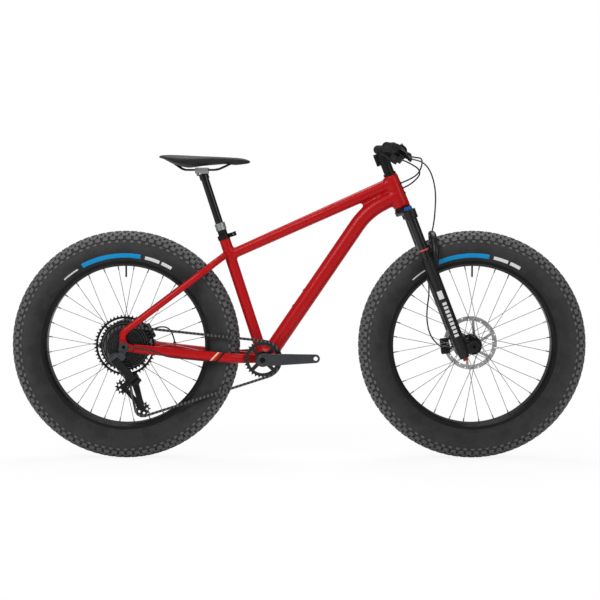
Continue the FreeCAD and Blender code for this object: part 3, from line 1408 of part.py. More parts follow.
def ridged_knob(radius, height):
    """A round knob with finger ridges, standing on the XY plane."""
    knob = cylinder(V(0, 0, 0), Z_AXIS * height, radius)
    dents = []
    for step in range(knob_ridge_count):
        angle = 2 * math.pi * step / knob_ridge_count
        spot = V(math.cos(angle), math.sin(angle), 0) * (radius + knob_ridge_radius / 2)
        dents.append(cylinder(spot - Z_AXIS * cut_overrun, spot + Z_AXIS * (height + cut_overrun),
                              knob_ridge_radius))
    return knob.cut(Part.makeCompound(dents))


compression = moved(ridged_knob(knob_radius, knob_height), legs[0] + Z_AXIS * (crown_side_high + body_gap))
compression = compression.cut(cylinder(legs[0] + Z_AXIS * crown_side_high,
                                       legs[0] + Z_AXIS * (crown_side_high + knob_height + cut_overrun),
                                       pin_radius + running_clearance))
parts["compression_knob"] = on_steering(compression)

# Fork lowers slide on the stanchions. An arch ties the two legs together ahead of the tyre.
dropout_face = front_hub_width / 2
axle_spot = V(fork_offset, 0, 0)
lower_pieces = []
for leg in legs:
    way = 1 if leg.y > 0 else -1
    lower_pieces.append(cylinder(leg, leg + Z_AXIS * seal_low, lower_leg_radius))
    lower_pieces.append(taper(leg + Z_AXIS * lower_leg_low, leg, lower_foot_radius, lower_leg_radius))
    low, high = sorted((way * dropout_face, way * (leg_side + lower_foot_radius / 2)))
    lower_pieces.append(plate(leg, axle_spot, lower_foot_radius, lower_dropout_radius, low, high))
    lower_pieces.append(plate(leg + Z_AXIS * lower_web_height, axle_spot, lower_foot_radius / 2,
                              lower_foot_radius / 2,
                              *sorted((way * (dropout_face + lower_foot_radius / 4), way * leg_side))))
arch_top_up = axle_z + arch_top_over_tyre
arch_right = [V(ahead, -side, axle_z + up) for ahead, side, up in arch_points]
arch_left = [V(ahead, side, axle_z + up) for ahead, side, up in reversed(arch_points)]
arch_middle = V(arch_points[-1][0], 0, arch_top_up)
arch_path, arch_radii = route(arch_right + [arch_middle] + arch_left, stay_bend_share)
print("arch bend radii", [round(radius, 1) for radius in arch_radii])
lower_pieces.append(oval_tube(arch_path, V(1, 0, 0), arch_half_depth, arch_half_height))
front_caliper = moved(caliper(front_rotor_radius, front_rotor_side, front_caliper_angle), axle_spot)
front_lean = math.radians(front_caliper_angle)
caliper_out = V(math.cos(front_lean), 0, math.sin(front_lean))
caliper_across = V(-caliper_out.z, 0, caliper_out.x)
for way in (-1, 1):
    spot = axle_spot + caliper_out * front_rotor_radius + caliper_across * (way * caliper_length / 3)
    spot = V(spot.x, front_rotor_side + caliper_width / 2, spot.z)
    lower_pieces.append(cylinder(V(legs[1].x, leg_side, spot.z), spot, caliper_foot_radius))
lowers = joined(lower_pieces)
lower_rooms = [cylinder(leg + Z_AXIS * lower_bore_floor, leg + Z_AXIS * (seal_low + cut_overrun),
                        stanchion_radius + body_gap) for leg in legs]
lower_rooms += [cylinder(leg + Z_AXIS * seal_low, leg + Z_AXIS * arch_top_up, seal_radius + body_gap)
                for leg in legs]
front_axle_room = cylinder(axle_spot - Y_AXIS * front_hub_width, axle_spot + Y_AXIS * front_hub_width,
                           front_axle_radius)
for room in lower_rooms + [front_axle_room, front_caliper]:
    lowers = lowers.cut(room)
rebound_post = cylinder(legs[0] + Z_AXIS * (lower_leg_low - rebound_knob_height),
                        legs[0] + Z_AXIS * lower_leg_low,
                        pin_radius)
casting = joined([max(lowers.Solids, key=lambda solid: solid.Volume), rebound_post])
seals = [sleeve(leg + Z_AXIS * seal_low, leg + Z_AXIS * (seal_low + seal_height), seal_radius,
                stanchion_radius + running_clearance) for leg in legs]
parts["fork_lowers"] = on_steering(Part.makeCompound([casting] + seals))
parts["front_caliper"] = on_steering(front_caliper)
front_axle_end = leg_side + lower_foot_radius / 2
rod = joined([cylinder(axle_spot - Y_AXIS * front_axle_end, axle_spot + Y_AXIS * front_axle_end,
                       front_axle_radius),
              cylinder(axle_spot - Y_AXIS * (front_axle_end + axle_head_length),
                       axle_spot - Y_AXIS * front_axle_end,
                       axle_head_radius)])
front_rod_bore = cylinder(axle_spot - Y_AXIS * front_hub_width, axle_spot + Y_AXIS * front_hub_width,
                          axle_bore_radius)
parts["front_thru_axle"] = on_steering(rod.cut(front_rod_bore))
rebound = moved(ridged_knob(rebound_knob_radius, rebound_knob_height),
                legs[0] + Z_AXIS * (lower_leg_low - body_gap - rebound_knob_height))
rebound = rebound.cut(cylinder(legs[0] + Z_AXIS * (lower_leg_low - 2 * rebound_knob_height), legs[0],
                               pin_radius + running_clearance))
parts["rebound_knob"] = on_steering(rebound)

# Stem, spacers and bar, still drawn with Z along the steering axis
rings = []
height = steering_top
for tall in spacer_heights:
    rings.append(sleeve(Z_AXIS * height, Z_AXIS * (height + tall), spacer_radius,
                        steerer_radius + slip_clearance))
    height += tall
top_cap = cylinder(Z_AXIS * stem_high, Z_AXIS * (stem_high + top_cap_height), spacer_radius)
parts["headset_spacers"] = on_steering(Part.makeCompound(rings + [top_cap]))
stem_middle = (stem_low + stem_high) / 2
bar_spot = V(stem_length, 0, stem_middle)
bar_low = bar_spot - Y_AXIS * (bar_clamp_width / 2)
bar_high = bar_spot + Y_AXIS * (bar_clamp_width / 2)
stem_arm = Part.makeBox(stem_length, stem_arm_width, stem_arm_height,
                        V(0, -stem_arm_width / 2, stem_middle - stem_arm_height / 2))
ear_depth = stem_clamp_radius / 2
ear = Part.makeBox(stem_clamp_radius + ear_depth, stem_clamp_radius, stem_clamp_height,
                   V(-stem_clamp_radius - ear_depth, -stem_clamp_radius / 2, stem_low))
front_ring = cylinder(bar_low, bar_high, bar_clamp_radius)
stem_bolts = []
for side in (-1, 1):
    for rise_way in (-1, 1):
        foot = bar_spot + V(-bar_clamp_radius / 2, side * stem_bolt_spread / 2,
                            rise_way * (bar_middle_radius + stem_bolt_radius))
        head = foot + V(bar_clamp_radius, 0, 0)
        tip = head + V(stem_bolt_head_height, 0, 0)
        stem_bolts.append(joined([cylinder(foot, head, stem_bolt_radius),
                                  cylinder(head, tip, stem_bolt_head_radius)]))
for rise_way in (-1, 1):
    spot = V(-stem_clamp_radius - ear_depth / 2, 0, stem_middle + rise_way * stem_clamp_height / 4)
    low = spot - Y_AXIS * (stem_clamp_radius / 2)
    stem_bolts.append(joined([cylinder(low, spot + Y_AXIS * (stem_clamp_radius / 4), stem_bolt_radius),
                              cylinder(low - Y_AXIS * stem_bolt_head_height, low, stem_bolt_head_radius)]))
bolt_group = Part.makeCompound(stem_bolts)
stem_block = joined([cylinder(Z_AXIS * stem_low, Z_AXIS * stem_high, stem_clamp_radius), stem_arm, ear,
                     front_ring])
stem_block = stem_block.cut(cylinder(Z_AXIS * (stem_low - cut_overrun), Z_AXIS * (stem_high + cut_overrun),
                                     steerer_radius))
stem_block = stem_block.cut(cylinder(bar_low - Y_AXIS * cut_overrun, bar_high + Y_AXIS * cut_overrun,
                                     bar_middle_radius))
stem_block = stem_block.cut(bolt_group)
slit = Part.makeBox(stem_clamp_radius + ear_depth, stem_split, stem_clamp_height + 2 * cut_overrun,
                    V(-stem_clamp_radius - ear_depth - cut_overrun, -stem_split / 2,
                      stem_low - cut_overrun))
stem_block = stem_block.cut(slit.cut(bolt_group))
ahead_room = Part.makeBox(stem_length, 2 * bar_clamp_width, 2 * stem_clamp_height,
                          V(stem_length + stem_split / 2, -bar_clamp_width,
                            stem_middle - stem_clamp_height))
faceplate = front_ring.common(ahead_room)
faceplate = faceplate.cut(cylinder(bar_low - Y_AXIS * cut_overrun, bar_high + Y_AXIS * cut_overrun,
                                   bar_middle_radius))
stem_body = stem_block.cut(moved(ahead_room, V(-stem_split, 0, 0)))
parts["stem"] = on_steering(Part.makeCompound([stem_body, faceplate.cut(bolt_group)] + stem_bolts))

bar_points = []
for way in (-1, 1):
    half = [V(-bar_end_back, way * bar_end_out, bar_end_up), V(-bar_bend_back, way * bar_bend_out,
                                                               bar_bend_up),
            V(0, way * bar_middle_half, 0)]
    bar_points += half if way < 0 else half[::-1]
bar_points = [bar_spot + point for point in bar_points]
bar_path, bar_radii = route(bar_points, bar_bend_share)
print("handlebar bend radii", [round(radius, 1) for radius in bar_radii])
bar_pieces = [pipe(bar_path, bar_radius),
              cylinder(bar_points[2], bar_points[3], bar_middle_radius)]
for inner, bend in ((bar_points[2], bar_points[1]), (bar_points[3], bar_points[4])):
    way_out = (bend - inner).normalize()
    taper_end = inner + (bend - inner) * bar_taper_share
    bar_pieces.append(taper(inner - way_out * cut_overrun, taper_end, bar_middle_radius - body_gap,
                            bar_radius - body_gap))
bar = joined(bar_pieces).cut(pipe(bar_path, bar_radius - bar_wall))
parts["handlebar"] = on_steering(bar)
grips = []
for end, bend in ((bar_points[0], bar_points[1]), (bar_points[5], bar_points[4])):
    out = (end - bend).normalize()
    start = end - out * grip_length
    grip = joined([cylinder(start, end + out * grip_end_cap, grip_radius),
                   cylinder(start, start + out * grip_flange_length, grip_flange_radius)])
    grips.append(grip.cut(cylinder(start - out * cut_overrun, end, bar_radius)))
parts["grips"] = on_steering(Part.makeCompound(grips))

# Brake levers and shifter for the right side, drawn with X away from the bar, -Y outward along it and Z up
droop = math.radians(lever_droop)
bar_end = steering_point(*bar_points[0])
bar_bend = steering_point(*bar_points[1])
bar_out = (bar_end - bar_bend).normalize()
hand_ahead = V(math.cos(droop), 0, -math.sin(droop))
hand_ahead = (hand_ahead - bar_out * hand_ahead.dot(bar_out)).normalize()
hand_up = bar_out.cross(hand_ahead)
lever_spot = bar_end - bar_out * lever_clamp_in
shifter_spot = bar_end - bar_out * shifter_in


def hand_point(spot, ahead, out, up):
    """A place near the right grip, in bicycle coordinates."""
    return spot + hand_ahead * ahead + bar_out * out + hand_up * up


def bar_clamp(width):
    """A band round the bar with its middle at the origin."""
    return sleeve(V(0, -width / 2, 0), V(0, width / 2, 0), bar_radius + lever_clamp_wall, bar_radius)


bar_room = cylinder(V(0, -grip_length, 0), V(0, grip_length, 0), bar_radius)
body_start, body_end = [V(ahead, -out, 0) for out, ahead in lever_body_points]
pivot = V(lever_pivot_ahead, -lever_pivot_out, 0)
blade_half = lever_blade_height / 2
knuckle_half = lever_knuckle_height / 2
lever_pieces = [bar_clamp(lever_clamp_width), cylinder(body_start, body_end, lever_body_radius),
                flat_link((bar_radius, 0), ((body_start + body_end) / 2)[:2], lever_body_neck,
                          lever_body_neck,
                          -lever_clamp_width / 2, lever_clamp_width / 2)]
for way in (-1, 1):
    low, high = sorted((way * (blade_half + body_gap), way * knuckle_half))
    lever_pieces.append(flat_link(body_end[:2], pivot[:2], lever_eye_radius, lever_eye_radius, low, high))
blade_room = cylinder(pivot - Z_AXIS * (blade_half + body_gap), pivot + Z_AXIS * (blade_half + body_gap),
                      lever_eye_radius + knuckle_gap)
lever_body = joined(lever_pieces).cut(bar_room).cut(blade_room)
lever_body = joined([lever_body, cylinder(pivot - Z_AXIS * knuckle_half, pivot + Z_AXIS * knuckle_half,
                                          lever_pivot_radius)])
right_body = placed(lever_body, lever_spot, hand_ahead, hand_up)
parts["brake_lever_bodies"] = Part.makeCompound([right_body, mirrored(right_body)])
blade_places = [pivot[:2]] + [(ahead, -out) for out, ahead in lever_blade_points]
blade_ends = (lever_eye_radius,) + lever_blade_radii
blade = joined([flat_link(blade_places[step], blade_places[step + 1], blade_ends[step],
                          blade_ends[step + 1], -blade_half,
                          blade_half) for step in range(len(lever_blade_points))])
blade = blade.cut(cylinder(pivot - Z_AXIS * knuckle_half, pivot + Z_AXIS * knuckle_half,
                           lever_pivot_radius + running_clearance))
right_blade = placed(blade, lever_spot, hand_ahead, hand_up)
parts["right_brake_lever"] = right_blade
parts["left_brake_lever"] = mirrored(right_blade)

shifter_low = -shifter_below - shifter_height / 2
shifter_axis = V(shifter_ahead, 0, 0)
post_low_place = shifter_low - 2 * (paddle_thickness + paddle_gap)
shifter = joined([
    bar_clamp(lever_clamp_width),
    cylinder(shifter_axis + Z_AXIS * shifter_low, shifter_axis + Z_AXIS * (shifter_low + shifter_height),
             shifter_radius),
    plate(V(0, 0, 0), shifter_axis - Z_AXIS * shifter_below, bar_radius + lever_clamp_wall,
          shifter_height / 2,
          -lever_clamp_width / 2, lever_clamp_width / 2)]).cut(bar_room)
shifter = joined([shifter, cylinder(shifter_axis + Z_AXIS * post_low_place,
                                    shifter_axis + Z_AXIS * shifter_low,
                                    paddle_post_radius)])
parts["shifter_body"] = placed(shifter, shifter_spot, hand_ahead, hand_up)
for name, reach, level in (("shift_up_paddle", up_paddle_reach, 0),
                           ("shift_down_paddle", down_paddle_reach, 1)):
    high = shifter_low - paddle_gap - level * (paddle_thickness + paddle_gap)
    paddle = flat_link((shifter_ahead, 0), (shifter_ahead + reach[0], -reach[1]), paddle_eye_radius,
                       paddle_tip_radius,
                       high - paddle_thickness, high)
    paddle = paddle.cut(cylinder(shifter_axis + Z_AXIS * (high - 2 * paddle_thickness),
                                 shifter_axis + Z_AXIS * high,
                                 paddle_post_radius + running_clearance))
    parts[name] = placed(paddle, shifter_spot, hand_ahead, hand_up)
print("right lever pivot", hand_point(lever_spot, lever_pivot_ahead, lever_pivot_out, 0), "hand up",
      hand_up)
print("shifter axis", hand_point(shifter_spot, shifter_ahead, 0, shifter_low))
print("hand ahead", hand_ahead, "bar out", bar_out, "lever spot", lever_spot, "shifter spot", shifter_spot)
print("right hose end", hand_point(lever_spot, lever_body_points[0][1], lever_body_points[0][0], 0))
print("shifter middle", hand_point(shifter_spot, shifter_ahead, 0, -shifter_below))


# Hoses and housings, held at both ends. Each is straight runs joined by tangent arcs.
def hose(name, points):
    """A round hose along a hand-laid route, checked against its section times its length."""
    path, radii = route(points, hose_bend_share)
    solid = pipe(path, hose_radius)
    exact = math.pi * hose_radius ** 2 * path.Length
    print(name, "length", round(path.Length, 1), "tightest bend", round(min(radii), 1),
          "volume over section times length",
          round(solid.Volume / exact, 4))
    return solid


def head_tube_radius(along):
    """Outer radius of the head tube at a distance above its lower end."""
    return head_tube_low_radius + (head_tube_high_radius - head_tube_low_radius) * along / head_tube_length


port_way = V(math.cos(math.radians(port_angle)), -math.sin(math.radians(port_angle)), 0)
ports = []
port_mouths = []
port_leads = []
for along in port_alongs:
    foot = Z_AXIS * (head_tube_low + along)
    mouth = foot + port_way * (head_tube_radius(along) + port_out)
    port = on_steering(cylinder(foot + port_way * (head_tube_radius(along) - port_out), mouth, port_radius))
    ports.append(port.cut(head_filled))
    port_mouths.append(steering_point(*mouth))
    port_leads.append(steering_point(*(mouth + port_way * port_lead)))

hose_end = hand_point(lever_spot, lever_body_points[0][1], lever_body_points[0][0], 0)
hose_inner = hand_point(lever_spot, lever_body_points[1][1], lever_body_points[1][0], 0)
hose_way = (hose_end - hose_inner).normalize()
hose_start = hose_end + hose_way * hose_lead
shifter_side = hand_point(shifter_spot, shifter_ahead, -shifter_radius, -shifter_below)
rear_hose = hose("rear brake hose at the bar", [hose_end, hose_start]
                 + [steering_point(*point) for point in rear_hose_points] + [port_leads[0], port_mouths[0]])
shift_housing = hose("shift housing at the bar", [shifter_side]
                     + [steering_point(*point) for point in shift_housing_points]
                     + [port_leads[1], port_mouths[1]])
parts["bar_cables"] = Part.makeCompound([rear_hose, shift_housing.cut(parts["shifter_body"])])

caliper_reach = caliper_height - caliper_bite
front_fitting = axle_spot + caliper_out * (front_rotor_radius + caliper_reach) + Y_AXIS * front_rotor_side
front_points = [V(place.x, -place.y, place.z) for place in (hose_end, hose_start)]
front_points += [steering_point(*point) for point in front_hose_points + (tuple(front_fitting),)]
parts["front_brake_hose"] = hose("front brake hose", front_points).cut(parts["front_caliper"])

mount_touch = hanger_eye + V(1, 0, 1).normalize() * mount_eye_radius
housing_points = [rear_axle + V(*point) for point in derailleur_housing_points]
housing_points.append(V(mount_touch.x, housing_points[-1].y, mount_touch.z))
derailleur_housing = hose("derailleur housing at the chainstay", housing_points)
rear_out = V(math.cos(caliper_lean), 0, math.sin(caliper_lean))
caliper_fitting = rear_axle + rear_out * (rear_rotor_radius + caliper_reach) + Y_AXIS * rear_rotor_side
caliper_points = [caliper_fitting] + [rear_axle + V(*point) for point in rear_caliper_hose_points]
caliper_hose = hose("rear brake hose at the caliper", caliper_points)
lead = (housing_points[0] - housing_points[1]).normalize()
right_port = cylinder(housing_points[0], housing_points[0] + lead * chainstay_port_length, port_radius)
left_port = cylinder(caliper_points[-1], caliper_points[-1] - Z_AXIS * (chainstay_half_height / 2),
                     port_radius)
stay_filled = [oval_tube(route([rear_place(*point, way) for point in chainstay_points], stay_bend_share)[0],
                         Y_AXIS,
                         chainstay_half_width, chainstay_half_height) for way in (-1, 1)]
derailleur_housing = derailleur_housing.cut(stay_filled[0]).cut(parts["derailleur_mount"])
frame_runs = [derailleur_housing, caliper_hose.cut(rear_caliper), right_port.cut(stay_filled[0]),
              left_port.cut(stay_filled[1])]
parts["frame_cables"] = Part.makeCompound(frame_runs + ports)

os.makedirs("parts", exist_ok=True)
for name, shape in parts.items():
    shape.exportStep("parts/" + name + ".step")
    print(name, "solids", len(shape.Solids), "volume", round(shape.Volume), "valid", shape.isValid())
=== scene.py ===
import math

import bmesh
import bpy
import numpy as np
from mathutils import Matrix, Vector


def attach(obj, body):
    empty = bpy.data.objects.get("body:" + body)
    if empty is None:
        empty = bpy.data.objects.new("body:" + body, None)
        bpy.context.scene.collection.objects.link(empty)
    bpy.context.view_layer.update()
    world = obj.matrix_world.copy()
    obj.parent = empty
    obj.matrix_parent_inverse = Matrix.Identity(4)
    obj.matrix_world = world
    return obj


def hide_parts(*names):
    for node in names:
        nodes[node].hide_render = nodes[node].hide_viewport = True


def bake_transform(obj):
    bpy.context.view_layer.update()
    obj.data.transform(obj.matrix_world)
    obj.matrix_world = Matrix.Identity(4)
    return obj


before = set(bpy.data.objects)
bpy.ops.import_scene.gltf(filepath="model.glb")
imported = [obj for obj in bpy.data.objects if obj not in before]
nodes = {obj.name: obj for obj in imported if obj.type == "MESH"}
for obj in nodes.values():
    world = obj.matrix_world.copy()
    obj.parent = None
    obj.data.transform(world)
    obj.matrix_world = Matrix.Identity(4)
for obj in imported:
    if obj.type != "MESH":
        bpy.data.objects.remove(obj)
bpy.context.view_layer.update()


# Studio: a white room with three broad soft lamps, and the camera six and a half metres from the drive
# side, a little below the top of the saddle and looking slightly down. The floor keeps a soft shadow.
scene = bpy.context.scene
scene.view_settings.view_transform = "Standard"


class Value:
    """A number that varies over a surface. Python's operators on it add Math nodes."""

    def __init__(self, finish, socket):
        self.finish = finish
        self.socket = socket

    def __add__(self, other):
        return self.finish.maths("ADD", self, other)

    __radd__ = __add__

    def __mul__(self, other):
        return self.finish.maths("MULTIPLY", self, other)

    __rmul__ = __mul__

    def __sub__(self, other):
        return self.finish.maths("SUBTRACT", self, other)

    def __rsub__(self, other):
        return self.finish.maths("SUBTRACT", other, self)

    def __truediv__(self, other):
        return self.finish.maths("DIVIDE", self, other)

    def __gt__(self, other):
        return self.finish.maths("GREATER_THAN", self, other)

    def __lt__(self, other):
        return self.finish.maths("LESS_THAN", self, other)

    def put_through(self, operation):
        """The Math operation of one number, such as SINE, on this value."""
        return self.finish.maths(operation, self)

    def ramp(self, low, high, first=0.0, last=1.0):
        """From first at low to last at high along a smooth step, and level beyond them."""
        step = self.finish.node("MapRange", {"interpolation_type": "SMOOTHSTEP"},
                                {0: self, 1: low, 2: high, 3: first, 4: last})
        return Value(self.finish, step.outputs[0])

    def within(self, low, high, edge=0.0006):
        """One between low and high and zero outside, with soft edges that reach so far to each side."""
        return self.ramp(low - edge, low + edge) * self.ramp(high - edge, high + edge, 1.0, 0.0)


class Finish:
    """One procedural material; node() adds any node, and surface() ends it in a shader."""

    def __init__(self, name, tree=None):
        if tree is None:
            self.material = bpy.data.materials.new(name)
            self.material.use_nodes = True
            tree = self.material.node_tree
        self.tree = tree
        self.tree.nodes.clear()

    def node(self, kind, settings=None, sockets=None):
        """A new node of that kind, with its settings made first and then its sockets' values or links."""
        node = self.tree.nodes.new("ShaderNode" + kind)
        for name, value in (settings or {}).items():
            setattr(node, name, value)
        for name, value in (sockets or {}).items():
            if isinstance(value, Value):
                value = value.socket
            if isinstance(value, bpy.types.NodeSocket):
                self.tree.links.new(value, node.inputs[name])
            else:
                node.inputs[name].default_value = value
        return node

    def maths(self, operation, *numbers):
        """The Math node of that operation on the given numbers or values, as a new value."""
        node = self.node("Math", {"operation": operation}, dict(enumerate(numbers)))
        return Value(self, node.outputs[0])

    def place(self):
        """The point on the surface, in metres in the shared frame."""
        return self.node("TexCoord").outputs["Object"]

    def axes(self):
        """The point's X, Y and Z as three values."""
        split = self.node("SeparateXYZ", None, {0: self.place()})
        return [Value(self, socket) for socket in split.outputs]

    def along(self, foot, way):
        """How far the point lies from foot along the unit vector way."""
        x, y, z = self.axes()
        return (x - foot[0]) * way[0] + (y - foot[1]) * way[1] + (z - foot[2]) * way[2]

    def from_axle(self, centre):
        """The point's distance from the line across the bicycle through centre, which is an X and a Z."""
        x, z = self.axes()[::2]
        ahead = x - centre[0]
        up = z - centre[1]
        return (ahead * ahead + up * up).put_through("SQRT")

    def speckle(self, scale, detail=3.0, stretch=(1, 1, 1)):
        """Cloudy noise between zero and one, at so many patches a metre, stretched along the axes."""
        spread = self.node("Mapping", None, {0: self.place(), 3: stretch})
        noise = self.node("TexNoise", None, {"Vector": spread.outputs[0], "Scale": scale, "Detail": detail})
        return Value(self, noise.outputs[0])

    def blend_colours(self, share, first, second):
        """The first colour where share is zero, the second where it is one."""
        mix = self.node("Mix", {"data_type": "RGBA"}, {0: share, 6: first, 7: second})
        return mix.outputs[2]

    def surface(self, colour, roughness, metallic=0.0, height=None, depth=0.0002, **constants):
        """The principled shader; height drives a bump of that depth in metres."""
        sockets = {"Base Color": colour, "Roughness": roughness, "Metallic": metallic}
        for name, value in constants.items():
            sockets[name.replace("_", " ").title().replace("Ior", "IOR")] = value
        if height is not None:
            bump = self.node("Bump", None, {"Height": height, "Distance": depth, "Strength": 1.0})
            sockets["Normal"] = bump.outputs[0]
        shader = self.node("BsdfPrincipled", None, sockets)
        self.node("OutputMaterial", None, {0: shader.outputs[0]})
        return self


eye = Vector((0.020, -6.500, 0.950))
aim = Vector((0.003, 0.0, 0.5285))
view_angle = math.radians(17.49)
lens = bpy.data.cameras.new("camera")
lens.sensor_fit = "HORIZONTAL"
lens.angle = view_angle
camera = bpy.data.objects.new("camera", lens)
camera.location = eye
camera.rotation_euler = (aim - eye).to_track_quat("-Z", "Y").to_euler()
scene.collection.objects.link(camera)
scene.camera = camera

# Each lamp's name, place, width in metres and power in watts.
lamps = (("key_lamp", (-2.2, -3.0, 3.2), 2.4, 106.0),
         ("fill_lamp", (2.6, -2.6, 2.4), 2.0, 34.0),
         ("top_lamp", (0.0, 1.2, 3.6), 2.8, 92.0))
lit_spot = Vector((0, 0, 0.5))
for name, spot, width, power in lamps:
    lamp = bpy.data.lights.new(name, "AREA")
    lamp.shape = "DISK"
    lamp.size = width
    lamp.energy = power
    holder = bpy.data.objects.new(name, lamp)
    holder.location = spot
    holder.rotation_euler = (lit_spot - Vector(spot)).to_track_quat("-Z", "Y").to_euler()
    scene.collection.objects.link(holder)

white = (1, 1, 1, 1)
room_light, mirror_loss = 0.27, 0.10
world = bpy.data.worlds.new("studio")
world.use_nodes = True
scene.world = world
room = Finish("room", world.node_tree)
room_rays = room.node("LightPath")
seen = Value(room, room_rays.outputs["Is Camera Ray"])
mirrored = Value(room, room_rays.outputs["Is Glossy Ray"])
room_strength = room_light + seen * (1.0 - room_light) - mirrored * mirror_loss
sky = room.node("Background", None, {0: white, 1: room_strength})
room.node("OutputWorld", None, {0: sky.outputs[0]})

floor_reach = 9.0
glow_near, glow_far = 0.90, 1.0
fade_start, fade_end = 0.7, 1.7
floor_finish = Finish("pale_floor")
matt = floor_finish.node("BsdfDiffuse", None, {0: (0.92, 0.92, 0.92, 1)})
glow = floor_finish.node("Emission", None, {0: white, 1: 1.0})
x, y = floor_finish.axes()[:2]
away = (x * x + y * y).put_through("SQRT")
floor_seen = Value(floor_finish, floor_finish.node("LightPath").outputs["Is Camera Ray"])
glow_share = floor_seen * away.ramp(fade_start, fade_end, glow_near, glow_far)
floor_mix = floor_finish.node("MixShader", None, {0: glow_share, 1: matt.outputs[0], 2: glow.outputs[0]})
floor_finish.node("OutputMaterial", None, {0: floor_mix.outputs[0]})
floor_corners = [(floor_reach * across, floor_reach * deep, 0)
                 for across, deep in ((-1, -1), (1, -1), (1, 1), (-1, 1))]
floor_mesh = bpy.data.meshes.new("floor")
floor_mesh.from_pydata(floor_corners, [], [(0, 1, 2, 3)])
floor_mesh.materials.append(floor_finish.material)
floor = bpy.data.objects.new("floor", floor_mesh)
scene.collection.objects.link(floor)


# Tyres: wide black rubber casings, folded over the rim's beads, with rows of moulded tread blocks. The
# block tops are worn to a lighter grey, the foot of each block is darkened with painted shade, and a blue
# band and pale bars are printed on the sidewall.
def grid_faces(rows, columns, wrap_rows=False, wrap_columns=True):
    """Quads between neighbouring points of a grid that is numbered row by row, closed where it wraps."""
    row = np.arange(rows if wrap_rows else rows - 1)[:, None]
    column = np.arange(columns if wrap_columns else columns - 1)[None, :]
    next_row = (row + 1) % rows
    next_column = (column + 1) % columns
    corners = (row * columns + column, row * columns + next_column,
               next_row * columns + next_column, next_row * columns + column)
    return np.stack(np.broadcast_arrays(*corners), axis=-1).reshape(-1, 4)


def made(name, shells, finish, values=None, keep_edges=0.6):
    """One mesh object of several shells, each given as points and lists of faces of one size, joined at
    shared points with its faces turned outwards. values holds a number for each point, kept as an
    attribute, and an edge stays sharp where its faces differ by more than keep_edges radians."""
    merge_distance = 0.000002
    points, faces, count = [], [], 0
    for spots, sheets in shells:
        points.append(np.asarray(spots, float).reshape(-1, 3))
        for sheet in sheets:
            faces.extend((np.asarray(sheet) + count).tolist())
        count += len(points[-1])
    mesh = bpy.data.meshes.new(name)
    mesh.from_pydata(np.concatenate(points).tolist(), [], faces)
    if values is not None:
        shade = mesh.attributes.new("shade", "FLOAT", "POINT")
        numbers = np.concatenate([np.ravel(group) for group in values])
        shade.data.foreach_set("value", numbers.astype(np.float32))
    work = bmesh.new()
    work.from_mesh(mesh)
    bmesh.ops.remove_doubles(work, verts=work.verts, dist=merge_distance)
    bmesh.ops.dissolve_degenerate(work, edges=work.edges, dist=merge_distance)
    bmesh.ops.recalc_face_normals(work, faces=work.faces)
    work.to_mesh(mesh)
    work.free()
    mesh.polygons.foreach_set("use_smooth", np.ones(len(mesh.polygons), bool))
    mesh.set_sharp_from_angle(angle=keep_edges)
    mesh.materials.append(finish.material)
    piece = bpy.data.objects.new(name, mesh)
    scene.collection.objects.link(piece)
    return piece


def arc_through(first, middle, last, count):
    """Points on the circle through three points of a plane, evenly spaced by angle from first to last."""
    (x1, y1), (x2, y2), (x3, y3) = first, middle, last
    left = np.array([[x2 - x1, y2 - y1], [x3 - x1, y3 - y1]])
    right = np.array([x2**2 + y2**2 - x1**2 - y1**2, x3**2 + y3**2 - x1**2 - y1**2]) / 2
    centre = np.linalg.solve(left, right)
    radius = math.hypot(x1 - centre[0], y1 - centre[1])
    turns = np.unwrap([math.atan2(y - centre[1], x - centre[0]) for x, y in (first, middle, last)])
    swing = np.linspace(turns[0], turns[2], count)
    return np.stack([centre[0] + radius * np.cos(swing), centre[1] + radius * np.sin(swing)], axis=-1)


half_wheelbase, axle_height = 0.577, 0.380
wheel_centres = {"front": (half_wheelbase, axle_height), "rear": (-half_wheelbase, axle_height)}

# The casing's outline is given as the distance from the middle plane and the radius.
crown_line, shoulder, bead = (0.0, 0.375), (0.051, 0.360), (0.0372, 0.2798)
crown = arc_through(crown_line, (0.030, 0.3701), shoulder, 22)
wall = arc_through(shoulder, (0.059, 0.3274), bead, 30)
half_outline = np.concatenate([crown, wall[1:]])
outline = np.concatenate([half_outline[:0:-1] * (-1, 1), half_outline])
inner_outline = outline * (0.955, 1.0) - (0.0, 0.0026)
run = np.concatenate([[0], np.cumsum(np.linalg.norm(np.diff(half_outline, axis=0), axis=1))])
slope_step = 0.0012


def casing_point(distance, height):
    """The point at that distance along the casing from its crown line and that height above it: the
    outline is read at the distance, then left along its normal, and mirrored for negative distances."""
    def read(reach):
        return np.stack([np.interp(reach, run, half_outline[:, axis]) for axis in (0, 1)], axis=-1)

    reach = np.abs(distance)
    side = np.where(distance < 0, -1.0, 1.0)
    spot = read(reach)
    slope = read(reach + slope_step) - read(reach - slope_step)
    slope /= np.linalg.norm(slope, axis=-1, keepdims=True)
    return side * (spot[..., 0] - slope[..., 1] * height), spot[..., 1] + slope[..., 0] * height


# A block is an eight-sided plan with cut corners, carried up three rings that draw in to the top.
pitches, tread_radius, corner_cut = 88, 0.37, 0.72
plan = np.array([(1, corner_cut), (corner_cut, 1), (-corner_cut, 1), (-1, corner_cut),
                 (-1, -corner_cut), (-corner_cut, -1), (corner_cut, -1), (1, -corner_cut)])
ring_sizes = np.array([1.08, 1.0, 0.92])[:, None]
ring_heights = np.array([-0.15, 0.80, 1.0])[:, None]
# Each ring's share of the worn grey: the top is worn pale, and the foot gets painted shade, darker than the
# casing.
ring_wear_and_painted_shade = np.array([0.0, 0.5, 1.0])[:, None]
rings, corners = len(ring_sizes), len(plan)
side_faces = grid_faces(rings, corners)
end_faces = np.array([np.arange(corners), (rings - 1) * corners + np.arange(corners)])


